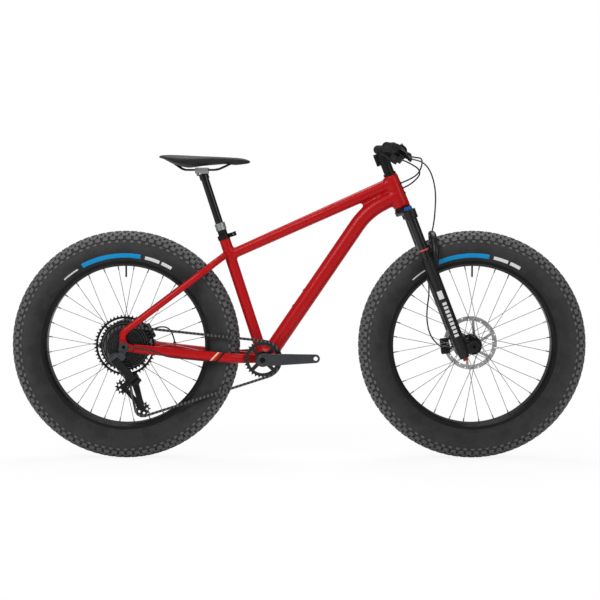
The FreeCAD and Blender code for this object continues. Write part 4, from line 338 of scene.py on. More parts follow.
def tread_row(centre, distance, half_width, half_length, height, shift, skew):
    """A ring of like blocks, one at each pitch and moved on by a share of it: the plan's rings are laid
    along the casing at that distance from the crown, slanted by skew, and turned round the axle."""
    turn = (np.arange(pitches) + shift) * 2 * math.pi / pitches
    across = distance + ring_sizes * plan[:, 1] * half_width
    along = ring_sizes * (plan[:, 0] * half_length + plan[:, 1] * skew) / tread_radius
    side, radius = casing_point(across, height * ring_heights)
    side, radius, angle = np.broadcast_arrays(side, radius, turn[:, None, None] + along)
    points = np.stack([centre[0] + radius * np.cos(angle), side,
                       centre[1] + radius * np.sin(angle)], axis=-1)
    starts = (np.arange(pitches) * rings * corners)[:, None, None]
    sides = (side_faces[None] + starts).reshape(-1, 4)
    ends = (end_faces[None] + starts).reshape(-1, corners)
    shades = np.broadcast_to(ring_wear_and_painted_shade, (pitches, rings, corners))
    return (points.reshape(-1, 3), [sides, ends]), shades


# Each row's distance from the crown line, half width, half length, height, shift in pitches and skew.
half_rows = ((0.0087, 0.0076, 0.0102, 0.0050, 0.0, 0.0015),
             (0.0260, 0.0078, 0.0104, 0.0042, 0.5, -0.0020),
             (0.0425, 0.0075, 0.0102, 0.0050, 0.0, 0.0),
             (0.0568, 0.0060, 0.0090, 0.0044, 0.5, 0.0),
             (0.0690, 0.0038, 0.0066, 0.0026, 0.0, 0.0))
tread_rows = [(side * row[0],) + row[1:] for row in half_rows for side in (-1, 1)]


def rubber(centre):
    """Charcoal rubber round that axle: pale worn block tops, dark gaps, painted shade at the blocks' feet,
    faint moulded ribs near the rim, and the printed band and bars, each a range of radius times a range of
    turn."""
    gap_black, worn_grey = (0.026, 0.0262, 0.0275, 1), (0.150, 0.150, 0.154, 1)
    wall_black, scuff_grey = (0.020, 0.020, 0.0212, 1), (0.085, 0.085, 0.088, 1)
    band_blue, print_white = (0.004, 0.30, 0.66, 1), (0.78, 0.78, 0.77, 1)
    rib_rate = 1500.0
    finish = Finish("tyre_rubber")
    x, z = finish.axes()[::2]
    radius = finish.from_axle(centre)
    turn = finish.maths("ARCTAN2", z - centre[1], x - centre[0])

    def arc(first, last, edge=0.003):
        return turn.within(math.radians(first), math.radians(last), edge)

    # This attribute carries wear on the block tops and painted shade at their feet.
    wear_and_painted_shade = Value(finish, finish.node("Attribute", {"attribute_name": "shade"}).outputs["Fac"])
    dust = finish.speckle(90.0, 4.0)
    grain = finish.speckle(900.0, 2.0)
    lower = radius.within(0.20, 0.325, 0.02)
    scuffs = finish.speckle(26.0, 4.0, (1, 0.4, 1)).within(0.50, 0.70, 0.08)
    print_wear = 0.86 + 0.14 * dust
    band = radius.within(0.2920, 0.3068) * arc(80, 118, 0.004)
    bars = radius.within(0.2935, 0.3045) * (arc(59, 66) + arc(67.5, 77))
    dash = radius.within(0.2945, 0.2990) * arc(121.5, 132.5)
    colour = finish.blend_colours(wear_and_painted_shade * (0.40 + 0.60 * dust), gap_black, worn_grey)
    colour = finish.blend_colours(lower * 0.7, colour, wall_black)
    colour = finish.blend_colours(scuffs * 0.12, colour, scuff_grey)
    colour = finish.blend_colours(band * print_wear, colour, band_blue)
    colour = finish.blend_colours((bars + dash) * print_wear, colour, print_white)
    ribs = (radius * rib_rate).put_through("SINE") * radius.within(0.288, 0.294, 0.001)
    height = grain * 0.35 + ribs * 0.5 + finish.speckle(3000.0, 1.0) * 0.2
    return finish.surface(colour, 0.62 + 0.16 * dust, 0.0, height, 0.0005, specular_ior_level=0.16)


casing_steps, casing_shade = 264, 0.16
for end, centre in wheel_centres.items():
    turn = np.linspace(0, 2 * math.pi, casing_steps, endpoint=False)[:, None]
    ring = np.concatenate([outline, inner_outline[::-1]])
    carcass = np.stack(np.broadcast_arrays(centre[0] + ring[:, 1] * np.cos(turn), ring[:, 0],
                                           centre[1] + ring[:, 1] * np.sin(turn)), axis=-1)
    blocks = [tread_row(centre, *row) for row in tread_rows]
    shells = [(carcass, [grid_faces(casing_steps, len(ring), True)])] + [shell for shell, shade in blocks]
    shades = [np.full(carcass.shape[:2], casing_shade)] + [shade for shell, shade in blocks]
    tyre = made(end + "_tyre_skin", shells, rubber(centre), shades)
    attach(tyre, end + "_wheel")
    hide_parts(end + "_tyre")


# Rims, hubs and axles: hollow rims and turned hubs of aluminium, anodised black, on plain round axles
# that screw into the fork and the frame.
def paint(finish, *names):
    """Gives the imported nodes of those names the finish."""
    for name in names:
        mesh = nodes[name].data
        mesh.materials.clear()
        mesh.materials.append(finish.material)


def anodised(name, dark, light, rough):
    """Anodised aluminium: a thin tinted layer with a fine blasted grain and slightly paler rubbed patches."""
    finish = Finish(name)
    patches = finish.speckle(28.0, 4.0)
    grain = finish.speckle(1600.0, 2.0)
    colour = finish.blend_colours(patches, dark, light)
    roughness = rough + 0.10 * patches + 0.06 * grain
    return finish.surface(colour, roughness, 0.25, grain, 0.00006, specular_ior_level=0.2)


deep_black, rubbed_black = (0.006, 0.006, 0.0065, 1), (0.014, 0.014, 0.015, 1)
black = anodised("black_anodised", deep_black, rubbed_black, 0.28)
for end in wheel_centres:
    paint(black, end + "_rim", end + "_hub", end + "_thru_axle")


# Spokes: thin drawn steel wires, hooked into the hubs' flanges and pulled tight by nipples in the rims.
# Their dark coating is a little shiny.
wire = Finish("spoke_wire")
wire_shine = wire.speckle(120.0, 2.0)
colour = wire.blend_colours(wire_shine, (0.16, 0.16, 0.165, 1), (0.28, 0.28, 0.285, 1))
wire.surface(colour, 0.26 + 0.12 * wire_shine, 0.85)
paint(wire, "front_spokes", "rear_spokes")


# Rotors: discs of stainless steel, cut by laser, ground in a circular direction and bolted to the left
# flange of each hub.
def ground_steel(name, centre, light, dark):
    """Ring-ground steel: noise read along the radius gives fine circles round the axle."""
    finish = Finish(name)
    rings_a_metre = 2600.0
    noise = finish.node("TexNoise", {"noise_dimensions": "1D"},
                        {"W": finish.from_axle(centre) * rings_a_metre, "Scale": 1.0, "Detail": 3.0})
    circles = Value(finish, noise.outputs[0])
    haze = finish.speckle(40.0, 3.0)
    colour = finish.blend_colours(circles, dark, light)
    return finish.surface(colour, 0.24 + 0.16 * haze, 0.92, circles, 0.00005)


for end, centre in wheel_centres.items():
    rotor_steel = ground_steel(end + "_rotor_steel", centre, (0.62, 0.62, 0.63, 1), (0.36, 0.36, 0.37, 1))
    paint(rotor_steel, end + "_rotor")


# Frame: welded aluminium tubes, filled and sanded at the joints, then sprayed red under a clear coat. The
# tubes are one skin, with a short web between top tube and down tube at the head.
def bent(corners, share, count=14):
    """A tube's middle line: straight runs joined by bends, each bend a quadratic curve that starts and
    ends at that share of the shorter run beside its corner."""
    corners = np.asarray(corners, float)
    pieces = [corners[:1]]
    for before, corner, after in zip(corners[:-2], corners[1:-1], corners[2:]):
        back, ahead = before - corner, after - corner
        back_length, ahead_length = np.linalg.norm(back), np.linalg.norm(ahead)
        reach = share * min(back_length, ahead_length)
        start = corner + back / back_length * reach
        stop = corner + ahead / ahead_length * reach
        step = np.linspace(0, 1, count)[:, None]
        pieces.append((1 - step) ** 2 * start + 2 * step * (1 - step) * corner + step**2 * stop)
    pieces.append(corners[-1:])
    return np.concatenate(pieces)


def tube(line, half_across, half_high, level, sides=64):
    """An oval profile carried along a line and closed at both ends by a point: across is square to the
    line and to level, and high is square to both."""
    line = np.asarray(line, float)
    way = np.gradient(line, axis=0)
    way /= np.linalg.norm(way, axis=1, keepdims=True)
    across = np.cross(way, level)
    across /= np.linalg.norm(across, axis=1, keepdims=True)
    high = np.cross(across, way)
    turn = np.linspace(0, 2 * math.pi, sides, endpoint=False)[None, :, None]
    wide = np.broadcast_to(half_across, len(line))[:, None, None]
    tall = np.broadcast_to(half_high, len(line))[:, None, None]
    body = line[:, None] + wide * np.cos(turn) * across[:, None] + tall * np.sin(turn) * high[:, None]
    first = np.broadcast_to(line[0], (1, sides, 3))
    last = np.broadcast_to(line[-1], (1, sides, 3))
    return np.concatenate([first, body, last]), [grid_faces(len(line) + 2, sides)]


def straight(start, span, count):
    """Evenly spaced points from start to start and span."""
    return np.asarray(start) + np.linspace(0, 1, count)[:, None] * np.asarray(span)


def unsanded(half):
    """A half size with what the smoothing of the joints takes off a round tube added: a fixed area over
    the size."""
    sanded_area = 0.0000288
    return half + sanded_area / half


def one_skin(rough, name, finish, cube, passes):
    """One closed skin over all that the rough object holds: it is rebuilt on a grid of cubes of that
    size, and each point is drawn half way to the middle of its neighbours, so many times."""
    remesh = rough.modifiers.new("one_skin", "REMESH")
    remesh.mode = "VOXEL"
    remesh.voxel_size = cube
    remesh.use_smooth_shade = True
    smooth = rough.modifiers.new("rounded", "SMOOTH")
    smooth.factor = 0.5
    smooth.iterations = passes
    mesh = bpy.data.meshes.new_from_object(rough.evaluated_get(bpy.context.evaluated_depsgraph_get()))
    mesh.name = name
    mesh.materials.clear()
    mesh.materials.append(finish.material)
    mesh.polygons.foreach_set("use_smooth", np.ones(len(mesh.polygons), bool))
    bpy.data.objects.remove(rough)
    piece = bpy.data.objects.new(name, mesh)
    scene.collection.objects.link(piece)
    return piece


sideways = np.array([0.0, 1.0, 0.0])
upright = np.array([0.0, 0.0, 1.0])
steering_foot = np.array([0.52659, 0.0, 0.36065])
steering_up = np.array([-0.358368, 0.0, 0.933580])
steering_ahead = np.array([0.933580, 0.0, 0.358368])
seat_up = np.array([-0.309017, 0.0, 0.951057])
bracket = np.array([-0.120, 0.0, 0.337])
rear_axle = np.array([-half_wheelbase, 0.0, axle_height])

head_low, head_high, head_steps = 0.5115, 0.625, 12
head_half = unsanded(np.linspace(0.0275, 0.023, head_steps))
head_line = straight(steering_foot + head_low * steering_up, (head_high - head_low) * steering_up, head_steps)
head = tube(head_line, head_half, head_half, sideways)

seat_length, seat_half = 0.430, unsanded(0.0175)
seat = tube(straight(bracket, seat_length * seat_up, 30), seat_half, seat_half, sideways)

shell_half_width, shell_half = 0.050, unsanded(0.026)
shell_line = straight(bracket - shell_half_width * sideways, 2 * shell_half_width * sideways, 10)
shell = tube(shell_line, shell_half, shell_half, upright)

down_half = unsanded(0.0255)
down_line = bent([(-0.104, 0, 0.342), (0.2242, 0, 0.8232), (0.32787, 0, 0.87832)], 0.48, 40)
down = tube(down_line, down_half, down_half, sideways)

top_steps = 40
top_line = straight((-0.23078, 0, 0.67795), (0.54253, 0, 0.24238), top_steps)
top = tube(top_line, unsanded(np.linspace(0.0155, 0.0195, top_steps)),
           unsanded(np.linspace(0.016, 0.021, top_steps)), sideways)

web_steps = 16
web_line = straight((0.212, 0, 0.8432), (0.064, 0, 0.0278), web_steps)
web = tube(web_line, np.linspace(0.0090, 0.0200, web_steps), np.linspace(0.0045, 0.0140, web_steps), sideways)

# The stays' corners are given from the rear axle, for the left side.
chainstay_corners = np.array([(0.030, 0.1015, -0.005), (0.247, 0.075, -0.029), (0.345, 0.0725, -0.039),
                              (0.394, 0.052, -0.043), (0.457, 0.036, -0.043)])
seatstay_corners = np.array([(-0.003, 0.1025, 0.022), (-0.003, 0.1025, 0.047),
                             (0.267, 0.077, 0.2505), (0.334, 0.018, 0.301)])
stay_bend, stay_half = 0.42, unsanded(0.009)
stays = []
for side in (-1, 1):
    mirror = np.array([1, side, 1])
    chainstay_line = bent(rear_axle + mirror * chainstay_corners, stay_bend)
    seatstay_line = bent(rear_axle + mirror * seatstay_corners, stay_bend)
    chainstay_high = np.interp(chainstay_line[:, 0], (-0.54, -0.30), (0.0130, 0.0150))
    stays += [tube(chainstay_line, stay_half, unsanded(chainstay_high), upright),
              tube(seatstay_line, stay_half, stay_half, sideways)]

red = Finish("red_paint")
cloud = red.speckle(14.0, 3.0)
flake = red.speckle(2400.0, 1.0)
peel = red.speckle(420.0, 2.0)
x, y, z = red.axes()
stripe_lean, stripe_height = 0.95, 0.341
on_right_chainstay = y.within(-0.2, -0.06) * z.within(0.30, 0.40)
slant = x - (z - stripe_height) * stripe_lean
dark_stripe = on_right_chainstay * slant.within(-0.2680, -0.2590)
orange_stripe = on_right_chainstay * slant.within(-0.2826, -0.2785)
cream_stripe = on_right_chainstay * slant.within(-0.2875, -0.2828)
colour = red.blend_colours(cloud * 0.8 + flake * 0.2, (0.405, 0.0030, 0.0048, 1), (0.465, 0.0042, 0.0064, 1))
colour = red.blend_colours(dark_stripe, colour, (0.012, 0.012, 0.013, 1))
colour = red.blend_colours(orange_stripe, colour, (0.70, 0.17, 0.03, 1))
colour = red.blend_colours(cream_stripe, colour, (0.80, 0.66, 0.48, 1))
red.surface(colour, 0.34 + 0.08 * cloud, 0.0, peel, 0.000004,
            coat_weight=0.10, coat_roughness=0.12, specular_ior_level=0.14)

rough_frame = made("frame_tubes", [head, seat, shell, down, top, web] + stays, red)
welded_frame = one_skin(rough_frame, "welded_frame", red, 0.0028, 30)
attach(welded_frame, "frame")
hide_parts("head_tube", "top_tube", "down_tube", "seat_tube", "bottom_bracket_shell",
            "chainstays", "seatstays")
paint(red, "rear_dropouts")
paint(black, "bearing_cups", "headset_spacers")


# Bottle bosses: two small threaded inserts of black aluminium, pressed into the upper side of the down
# tube, so that a cage can be screwed on.
def turned_piece(middle, way, profile, sides=40):
    """A profile of radius and distance pairs, carried round the line through middle along way, and
    closed by a point wherever its radius is zero."""
    profile = np.asarray(profile, float)
    way = np.asarray(way, float) / np.linalg.norm(way)
    guide = upright if abs(way[2]) < 0.9 else np.array([1.0, 0.0, 0.0])
    first = np.cross(way, guide)
    first /= np.linalg.norm(first)
    second = np.cross(way, first)
    turn = np.linspace(0, 2 * math.pi, sides, endpoint=False)[None, :, None]
    spokes = np.cos(turn) * first + np.sin(turn) * second
    points = middle + profile[:, 1, None, None] * way + profile[:, 0, None, None] * spokes
    return points, [grid_faces(len(profile), sides)]


boss_way = np.array([-0.8261, 0.0, 0.5635])
boss_spots = np.array([(-0.0219, 0, 0.5112), (0.0142, 0, 0.5640)])
boss_profile = ((0, -0.006), (0.005, -0.006), (0.005, -0.0006), (0.0044, 0),
                (0.0026, 0), (0.0026, -0.003), (0, -0.003))
bosses = [turned_piece(spot, boss_way, boss_profile) for spot in boss_spots]
boss_piece = made("bottle_bosses", bosses, black)
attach(boss_piece, "frame")


# Saddle: a foam pad under a taut, sewn synthetic skin, bonded to a moulded plastic shell that rests on two
# black rails. A shallow channel runs along its middle.
saddle_tail, saddle_nose, saddle_top, cover_edge = -0.462, -0.163, 1.012, 0.9869
saddle_shares = np.array([0, 0.04, 0.13, 0.24, 0.35, 0.48, 0.6, 0.72, 0.84, 0.93, 0.98, 1.0])
saddle_half_widths = np.array([40, 62, 71, 70, 58, 38, 27, 23, 20.5, 17, 12.5, 7]) / 1000
saddle_half_depths = np.array([3.5, 6.5, 14, 19, 20, 16.5, 14.5, 12.5, 12.5, 9.5, 6, 2.5]) / 1000
saddle_crowns = np.array([-3.5, -0.5, 0, -1, -2.5, -4, -4.8, -6.2, -9, -12.5, -17, -21]) / 1000
channel_depth, channel_half = 0.0036, 0.0075
fullness = 2 / 2.3


def saddle_form(share, turn):
    """The pad: a superellipse whose half width, depth and crown follow the saddle's length, with a
    shallow channel along the middle, and its lower side drawn flat along the shell's edge."""
    def smooth_read(values):
        steps, blur = np.linspace(0, 1, 400), np.hanning(27)
        margin = len(blur) // 2
        rough = np.pad(np.interp(steps, saddle_shares, values), margin, mode="reflect", reflect_type="odd")
        return np.interp(share, steps, np.convolve(rough, blur / blur.sum(), "valid"))

    def full(wave):
        return np.sign(wave) * np.abs(wave) ** fullness

    half = smooth_read(saddle_half_widths)
    deep = smooth_read(saddle_half_depths)
    level = saddle_top + smooth_read(saddle_crowns) - deep
    across = half * full(np.cos(turn))
    rise = deep * full(np.sin(turn))
    length_window = np.clip((share - 0.10) / 0.15, 0, 1) * np.clip((0.86 - share) / 0.2, 0, 1)
    channel = channel_depth * np.exp(-(across / channel_half) ** 2) * length_window * (rise > 0)
    height = np.maximum(level + rise - channel, cover_edge)
    along = saddle_tail + share * (saddle_nose - saddle_tail)
    return np.stack(np.broadcast_arrays(along, across, height), axis=-1)


skin_finish = Finish("saddle_skin")
x, y = skin_finish.axes()[:2]
stitches, seam_spread = 1400.0, 0.11
cells = skin_finish.node("TexVoronoi", None, {"Vector": skin_finish.place(), "Scale": 900.0})
pores = Value(skin_finish, cells.outputs[0])
rub = skin_finish.speckle(18.0, 3.0)
from_nose = (x - saddle_nose).put_through("ABSOLUTE")
seam = (y.put_through("ABSOLUTE") - from_nose * seam_spread).within(0.0095, 0.0107, 0.0003)
stitch = seam * (x * stitches).put_through("SINE").within(-0.2, 2.0, 0.2)
colour = skin_finish.blend_colours(rub, (0.009, 0.009, 0.0095, 1), (0.020, 0.020, 0.021, 1))
colour = skin_finish.blend_colours(stitch * 0.8, colour, (0.10, 0.10, 0.105, 1))
skin_height = pores * 0.5 - seam * 0.8 + stitch * 0.9
skin_finish.surface(colour, 0.46 + 0.16 * rub, 0.0, skin_height, 0.0006, specular_ior_level=0.25)

length_steps, turn_steps = 92, 96
lengths = (1 - np.cos(np.linspace(0, math.pi, length_steps))) / 2
turns = np.linspace(0, 2 * math.pi, turn_steps, endpoint=False)
pad = saddle_form(lengths[:, None], turns[None, :])
tail_end, nose_end = [np.broadcast_to(pad[row].mean(axis=0), (1, turn_steps, 3)) for row in (0, -1)]
pad = np.concatenate([tail_end, pad, nose_end])
saddle_pad = made("saddle_pad", [(pad, [grid_faces(len(pad), turn_steps)])], skin_finish, keep_edges=1.2)
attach(saddle_pad, "saddle")
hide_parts("saddle_cover")

plastic_black, plastic_grey = (0.009, 0.009, 0.0095, 1), (0.018, 0.018, 0.019, 1)
moulded = Finish("moulded_plastic")
mould_grain = moulded.speckle(1300.0, 3.0)
mould_patch = moulded.speckle(30.0, 2.0)
moulded.surface(moulded.blend_colours(mould_patch, plastic_black, plastic_grey), 0.42 + 0.18 * mould_grain,
                0.0, mould_grain, 0.00025, specular_ior_level=0.25)
paint(moulded, "saddle_shell")
paint(black, "saddle_rails")


# Dropper post: a black polished shaft slides in a wider black tube under a grey seal head. The clamp that
# holds the rails is blasted silver, and a black collar with a lever pinches the tube in the frame.
blasted = Finish("blasted_silver")
blast = blasted.speckle(1500.0, 2.0)
colour = blasted.blend_colours(blast, (0.30, 0.31, 0.315, 1), (0.42, 0.43, 0.435, 1))
blasted.surface(colour, 0.36 + 0.12 * blast, 0.9, blast, 0.0001)
paint(blasted, "saddle_clamp", "seatpost_seal_head")

polished_black, hazed_black = (0.005, 0.005, 0.0053, 1), (0.011, 0.011, 0.0115, 1)
slide = Finish("black_slide")
slide_haze = slide.speckle(36.0, 2.0)
slide.surface(slide.blend_colours(slide_haze, polished_black, hazed_black), 0.16 + 0.06 * slide_haze,
              specular_ior_level=0.35)
paint(slide, "seatpost_shaft")
paint(black, "seatpost_outer_tube", "seat_clamp", "seat_clamp_lever")


# Fork legs and crown: black cast lower legs, and a forged crown that is pressed on the stanchions. A row of
# plain pale bars is printed on the outside of each lower leg.
leg = Finish("fork_black")
leg_patch = leg.speckle(24.0, 3.0)
leg_grain = leg.speckle(1400.0, 2.0)
rise = leg.along(steering_foot, steering_up)
lead = leg.along(steering_foot, steering_ahead)
ladder_low, ladder_high, ladder_pitch, leg_outside = 0.050, 0.176, 0.0140, 0.0985
outside = leg.axes()[1].put_through("ABSOLUTE") > leg_outside
rungs = ((rise - ladder_low) / ladder_pitch).put_through("FRACT").within(0.18, 0.82, 0.03)
ladder = rise.within(ladder_low, ladder_high) * rungs * lead.within(0.006, 0.020)
box = rise.within(0.186, 0.214) * lead.within(0.002, 0.019)
colour = leg.blend_colours(leg_patch, deep_black, rubbed_black)
colour = leg.blend_colours(outside * (ladder + box) * 0.9, colour, (0.74, 0.74, 0.74, 1))
leg.surface(colour, 0.30 + 0.10 * leg_patch, 0.0, leg_grain, 0.00006,
            coat_weight=0.06, coat_roughness=0.2, specular_ior_level=0.25)
paint(leg, "fork_lowers")


def forged(finish, body, name, cube=0.0009, passes=5):
    """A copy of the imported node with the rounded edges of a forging: the copy is joined at shared points
    and made one skin, which stands in the node's place on the body."""
    merge_distance = 0.000005
    work = bmesh.new()
    work.from_mesh(nodes[name].data)
    bmesh.ops.remove_doubles(work, verts=work.verts, dist=merge_distance)
    sharp = bpy.data.meshes.new(name + "_sharp")
    work.to_mesh(sharp)
    work.free()
    rough = bpy.data.objects.new(name + "_sharp", sharp)
    scene.collection.objects.link(rough)
    piece = one_skin(rough, name + "_forged", finish, cube, passes)
    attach(piece, body)
    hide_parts(name)


forged(leg, "steering", "fork_crown", cube=0.0018, passes=16)


# Stanchions and knobs: black plated tubes that the lower legs slide on, with a red sag mark round the right
# one, a blue knob on top of the right leg and a red one under it.
plated = Finish("plated_stanchion")
rise = plated.along(steering_foot, steering_up)
plate_haze = plated.speckle(36.0, 2.0)
sag_mark = rise.within(0.3550, 0.3600) * (plated.axes()[1] < 0.0)
colour = plated.blend_colours(plate_haze, polished_black, hazed_black)
colour = plated.blend_colours(sag_mark, colour, (0.62, 0.06, 0.09, 1))
plated.surface(colour, 0.16 + 0.06 * plate_haze, specular_ior_level=0.4)
paint(plated, "fork_stanchions")
blue = anodised("blue_anodised", (0.012, 0.075, 0.36, 1), (0.022, 0.12, 0.50, 1), 0.26)
paint(blue, "compression_knob")
dark_red = anodised("red_anodised", (0.36, 0.012, 0.018, 1), (0.52, 0.022, 0.03, 1), 0.26)
paint(dark_red, "rebound_knob")


# Grips: ribbed rubber sleeves pushed on the ends of the bar, each with a collar at its inner end and a
# closed cap at its outer end.
rubber_black = Finish("black_rubber")
rubber_patch = rubber_black.speckle(45.0, 3.0)
rubber_grain = rubber_black.speckle(1800.0, 2.0)
colour = rubber_black.blend_colours(rubber_patch, (0.010, 0.010, 0.0105, 1), (0.024, 0.024, 0.0245, 1))
rubber_black.surface(colour, 0.62 + 0.16 * rubber_patch, 0.0, rubber_grain, 0.0003, specular_ior_level=0.25)


def steering_spot(ahead, side, along):
    """The point that lies so far ahead, sideways and along the steering axis from its foot, in metres."""
    return steering_foot + ahead * steering_ahead + side * sideways + along * steering_up


# The profile runs outwards from the inner end, as radius and distance pairs.
grip_length, grip_radius, rib_height, rib_pitch = 0.128, 0.0148, 0.0007, 0.0056
panel_pitch, panel_half, panel_depth = 0.040, 0.0035, 0.0006
rib_spots = np.linspace(0.006, 0.120, 460)
rib_radii = grip_radius + rib_height * np.clip(np.sin(rib_spots * 2 * math.pi / rib_pitch) * 2.2, -1, 1)
rib_radii -= panel_depth * (np.abs((rib_spots % panel_pitch) - panel_pitch / 2) < panel_half)
collar = [(0.0, 0.0), (0.0111, 0.0), (0.0172, 0.0), (0.0180, 0.0010), (0.0180, 0.0042), (0.0170, 0.0052)]
end_cap = [(0.0155, 0.1215), (0.0155, 0.1265), (0.0140, 0.1278), (0.0, 0.1279)]
grip_profile = np.concatenate([collar, np.stack([rib_radii, rib_spots], axis=-1), end_cap])
sleeves = []
for side in (-1, 1):
    bar_bend = steering_spot(0.055, side * 0.120, 0.6959)
    bar_end = steering_spot(0.006, side * 0.380, 0.7184)
    bar_way = (bar_end - bar_bend) / np.linalg.norm(bar_end - bar_bend)
    sleeves.append(turned_piece(bar_end - grip_length * bar_way, bar_way, grip_profile, 56))
grip_sleeves = made("grip_sleeves", sleeves, rubber_black)
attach(grip_sleeves, "steering")
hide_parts("grips")


# Bar, stem and controls: a forged stem clamps a butted aluminium bar. A brake lever is clamped beside each
# grip, and the shifter, moulded in plastic, beside the right one.
paint(black, "handlebar")
paint(moulded, "shift_up_paddle", "shift_down_paddle")
forged(black, "steering", "stem", cube=0.0013, passes=12)
forged(black, "steering", "brake_lever_bodies", cube=0.0010, passes=8)
forged(black, "right_brake_lever", "right_brake_lever")
forged(black, "left_brake_lever", "left_brake_lever")
forged(moulded, "steering", "shifter_body")


# Hoses and housings: black plastic hoses from the levers and the shifter, which bow ahead of the head tube
# and go into it, one that runs down the left fork leg to its caliper, and two short ones at the rear wheel.
hose_finish = Finish("hose_black")
hose_patch = hose_finish.speckle(60.0, 2.0)
colour = hose_finish.blend_colours(hose_patch, (0.012, 0.012, 0.0125, 1), (0.024, 0.024, 0.025, 1))
hose_finish.surface(colour, 0.36 + 0.14 * hose_patch, 0.0, hose_finish.speckle(1500.0, 2.0), 0.00012)


def hose_line(name, points):
    """Points along the smooth third-order spline that has the route's points as its control points."""
    curve = bpy.data.curves.new(name, "CURVE")
    curve.dimensions = "3D"
    curve.resolution_u = 14
    spline = curve.splines.new("NURBS")
    spline.points.add(len(points) - 1)
    spline.points.foreach_set("co", np.column_stack([points, np.ones(len(points))]).ravel())
    spline.order_u = 3
    spline.use_endpoint_u = True
    holder = bpy.data.objects.new(name, curve)
    line_mesh = bpy.data.meshes.new_from_object(holder)
    line = np.empty(len(line_mesh.vertices) * 3)
    line_mesh.vertices.foreach_get("co", line)
    bpy.data.objects.remove(holder)
    bpy.data.meshes.remove(line_mesh)
    return line.reshape(-1, 3)


hose_diameter, hose_sides = 0.005, 12
port_turn, port_run = math.radians(25), 0.028
port_way = steering_ahead * math.cos(port_turn) - sideways * math.sin(port_turn)
first_mouth = steering_spot(0.02488, -0.01160, 0.5885)
second_mouth = steering_spot(0.02550, -0.01189, 0.5710)
lever_mouth, lever_lead = np.array([0.35490, 0.19268, 1.00710]), np.array([0.3707, 0.1563, 1.0019])
mirrored_side = np.array([1, -1, 1])
rear_hose = np.array([lever_mouth * mirrored_side, lever_lead * mirrored_side,
                      steering_spot(0.118, -0.098, 0.640), steering_spot(0.092, -0.044, 0.597),
                      first_mouth + port_run * port_way, first_mouth])
shift_hose = np.array([(0.3188, -0.1762, 0.9984),
                       steering_spot(0.062, -0.152, 0.650), steering_spot(0.102, -0.088, 0.598),
                       second_mouth + port_run * port_way, second_mouth])
front_spots = ((0.136, 0.108, 0.618), (0.135, 0.094, 0.531), (0.094, 0.092, 0.436), (0.064, 0.112, 0.385),
               (0.012, 0.115, 0.312), (-0.006, 0.113, 0.214), (-0.046, 0.099, 0.146), (-0.062, 0.074, 0.094),
               (-0.060, 0.0597, 0.0508), (-0.0440, 0.0597, 0.0244))
front_hose = np.array([lever_mouth, lever_lead] + [steering_spot(*spot) for spot in front_spots])
gear_route = rear_axle + np.array([(0.262, -0.0747, -0.0476), (0.200, -0.0808, -0.0405),
                                   (0.152, -0.0875, -0.0355), (0.126, -0.100, -0.027),
                                   (0.100, -0.1065, -0.014), (0.056, -0.118, -0.002),
                                   (0.024, -0.120, 0.002), (0.0029, -0.120, -0.0201)])
caliper_route = rear_axle + np.array([(0.0803, 0.0832, 0.0427), (0.106, 0.0845, 0.056),
                                      (0.146, 0.087, 0.044), (0.155, 0.0863, 0.001)])

# Each hose's name, route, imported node, body at its start and at its end, and where it passes between them.
hose_routes = (
    ("rear_brake_hose", rear_hose, "bar_cables", "steering", "frame", rear_hose[1], rear_hose[-1]),
    ("shift_housing", shift_hose, "bar_cables", "steering", "frame", shift_hose[1], shift_hose[-1]),
    ("front_brake_hose_skin", front_hose, "front_brake_hose", "steering", "fork_lowers",
     front_hose[3], front_hose[7]),
    ("gear_housing", gear_route, "frame_cables", "frame", "frame", None, None),
    ("caliper_hose", caliper_route, "frame_cables", "frame", "frame", None, None))
hose_level = np.array([0.31, 0.22, 0.92])
for name, route, node, body, far_body, start, stop in hose_routes:
    line = hose_line(name, route)
    hose_tube = tube(line, hose_diameter / 2, hose_diameter / 2, hose_level, hose_sides)
    hose = made(name, [hose_tube], hose_finish, keep_edges=1.2)
    if body == far_body:
        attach(hose, body)
    else:
        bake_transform(hose)
    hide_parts(node)


# Ports: rubber lips that seal the holes where the hoses go into the head tube and the chainstays. The
# lowest one at the head tube is a spare and holds no hose.
third_mouth = steering_spot(0.02613, -0.01219, 0.5535)
lip_profile = ((0, -0.012), (0.005, -0.012), (0.005, -0.0008), (0.0042, 0), (0, 0))
port_places = [(mouth, port_way) for mouth in (first_mouth, second_mouth, third_mouth)]
port_places += [(gear_route[0], gear_route[1] - gear_route[0]), (caliper_route[-1], upright)]
lips = [turned_piece(mouth, way, lip_profile, 24) for mouth, way in port_places]
ports = made("cable_ports", lips, rubber_black)
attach(ports, "frame")
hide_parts("frame_cables")


# Calipers: forged black bodies that straddle the rotors, bolted to the left fork leg and to the left stays.
# Each holds a hose at its end.
forged(black, "fork_lowers", "front_caliper")
forged(black, "frame", "rear_caliper")


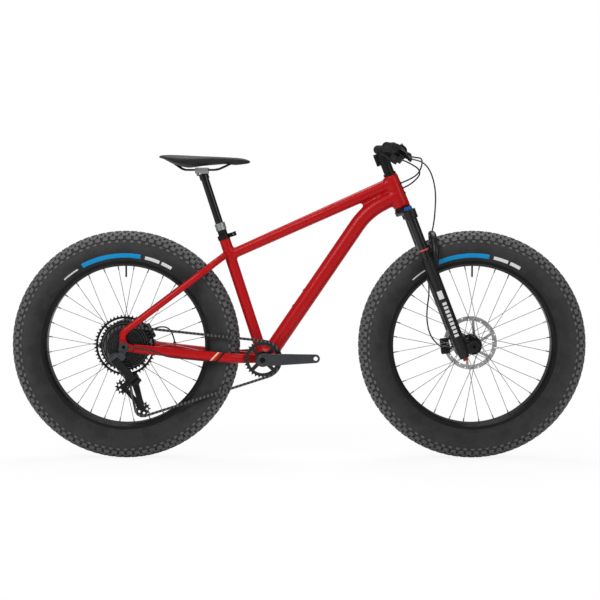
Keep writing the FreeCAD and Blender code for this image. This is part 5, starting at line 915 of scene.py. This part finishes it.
# Crank and chainring: forged arms of slate grey aluminium on a steel spindle, with a dark cap on its end.
# One steel ring, coated black, is bolted to the right arm.
cap_radius = 0.0095
bracket_centre = (bracket[0], bracket[2])
arm = Finish("crank_slate")
arm_patch = arm.speckle(28.0, 4.0)
cap = arm.from_axle(bracket_centre).within(-0.01, cap_radius)
colour = arm.blend_colours(arm_patch, (0.036, 0.038, 0.043, 1), (0.056, 0.058, 0.064, 1))
colour = arm.blend_colours(cap, colour, (0.004, 0.004, 0.0042, 1))
arm.surface(colour, 0.30 + 0.12 * arm_patch, 0.25, specular_ior_level=0.2)
forged(arm, "crank", "crank_arms", cube=0.0012, passes=10)
ring_steel = ground_steel("chainring_black", bracket_centre,
                          (0.060, 0.060, 0.062, 1), (0.022, 0.022, 0.023, 1))
paint(ring_steel, "chainring")


# Cassette: twelve stamped steel cogs on the rear hub, coated black, with a painted highlight on the teeth
# and on a ring beside each cog's edge.
chain_pitch = 0.0127
cog_teeth = (50, 42, 36, 32, 28, 25, 22, 19, 17, 15, 13, 11)
cog_radii = [chain_pitch / 2 / math.sin(math.pi / teeth) for teeth in cog_teeth]
tooth_height, highlight_share = 0.0040, 0.3
coated = Finish("cassette_black")
radius = coated.from_axle(wheel_centres["rear"])
# Painted highlight: a paler ring over each cog's teeth and edge, broken up by oil.
painted_highlight_rings = radius.within(cog_radii[0] - tooth_height, cog_radii[0] + 0.0015, 0.0008)
for cog_radius, larger in zip(cog_radii[1:], cog_radii):
    tip = cog_radius + tooth_height
    painted_highlight_rings = painted_highlight_rings + radius.within(tip - highlight_share * (larger - cog_radius), tip, 0.0005)
oil = coated.speckle(160.0, 3.0)
oily_painted_highlights = painted_highlight_rings * (0.35 + 0.65 * oil)
colour = coated.blend_colours(oily_painted_highlights, (0.007, 0.007, 0.0075, 1), (0.100, 0.100, 0.104, 1))
coated.surface(colour, 0.30 + 0.20 * oil, 0.5, specular_ior_level=0.3)
paint(coated, "cassette")


# Chain: a narrow roller chain of oiled steel plates on pins. A highlight is painted on the plates once in
# every pitch, and painted shade keeps the gaps between them dark.
links = Finish("chain_steel")
link_oil = links.speckle(220.0, 3.0)
# Painted highlight on the plates once a pitch, with painted shade in the gaps.
painted_plate_highlight = (links.axes()[0] * (2 * math.pi / chain_pitch)).put_through("SINE").within(0.0, 2.0, 0.4)
oily_plate_highlight = painted_plate_highlight * (0.4 + 0.6 * link_oil)
colour = links.blend_colours(oily_plate_highlight, (0.030, 0.030, 0.031, 1), (0.160, 0.160, 0.163, 1))
links.surface(colour, 0.28 + 0.24 * link_oil, 0.8)
paint(links, "chain")


# Derailleur: a slate grey mount bolted at the rear axle, black forged links that swing below it, and a cage
# of two plates with a pair of plastic pulleys.
slate = anodised("slate_anodised", (0.040, 0.042, 0.047, 1), (0.060, 0.062, 0.068, 1), 0.30)
paint(slate, "derailleur_mount")
paint(black, "derailleur_link", "derailleur_knuckle", "derailleur_cage")
paint(moulded, "guide_pulley", "tension_pulley")
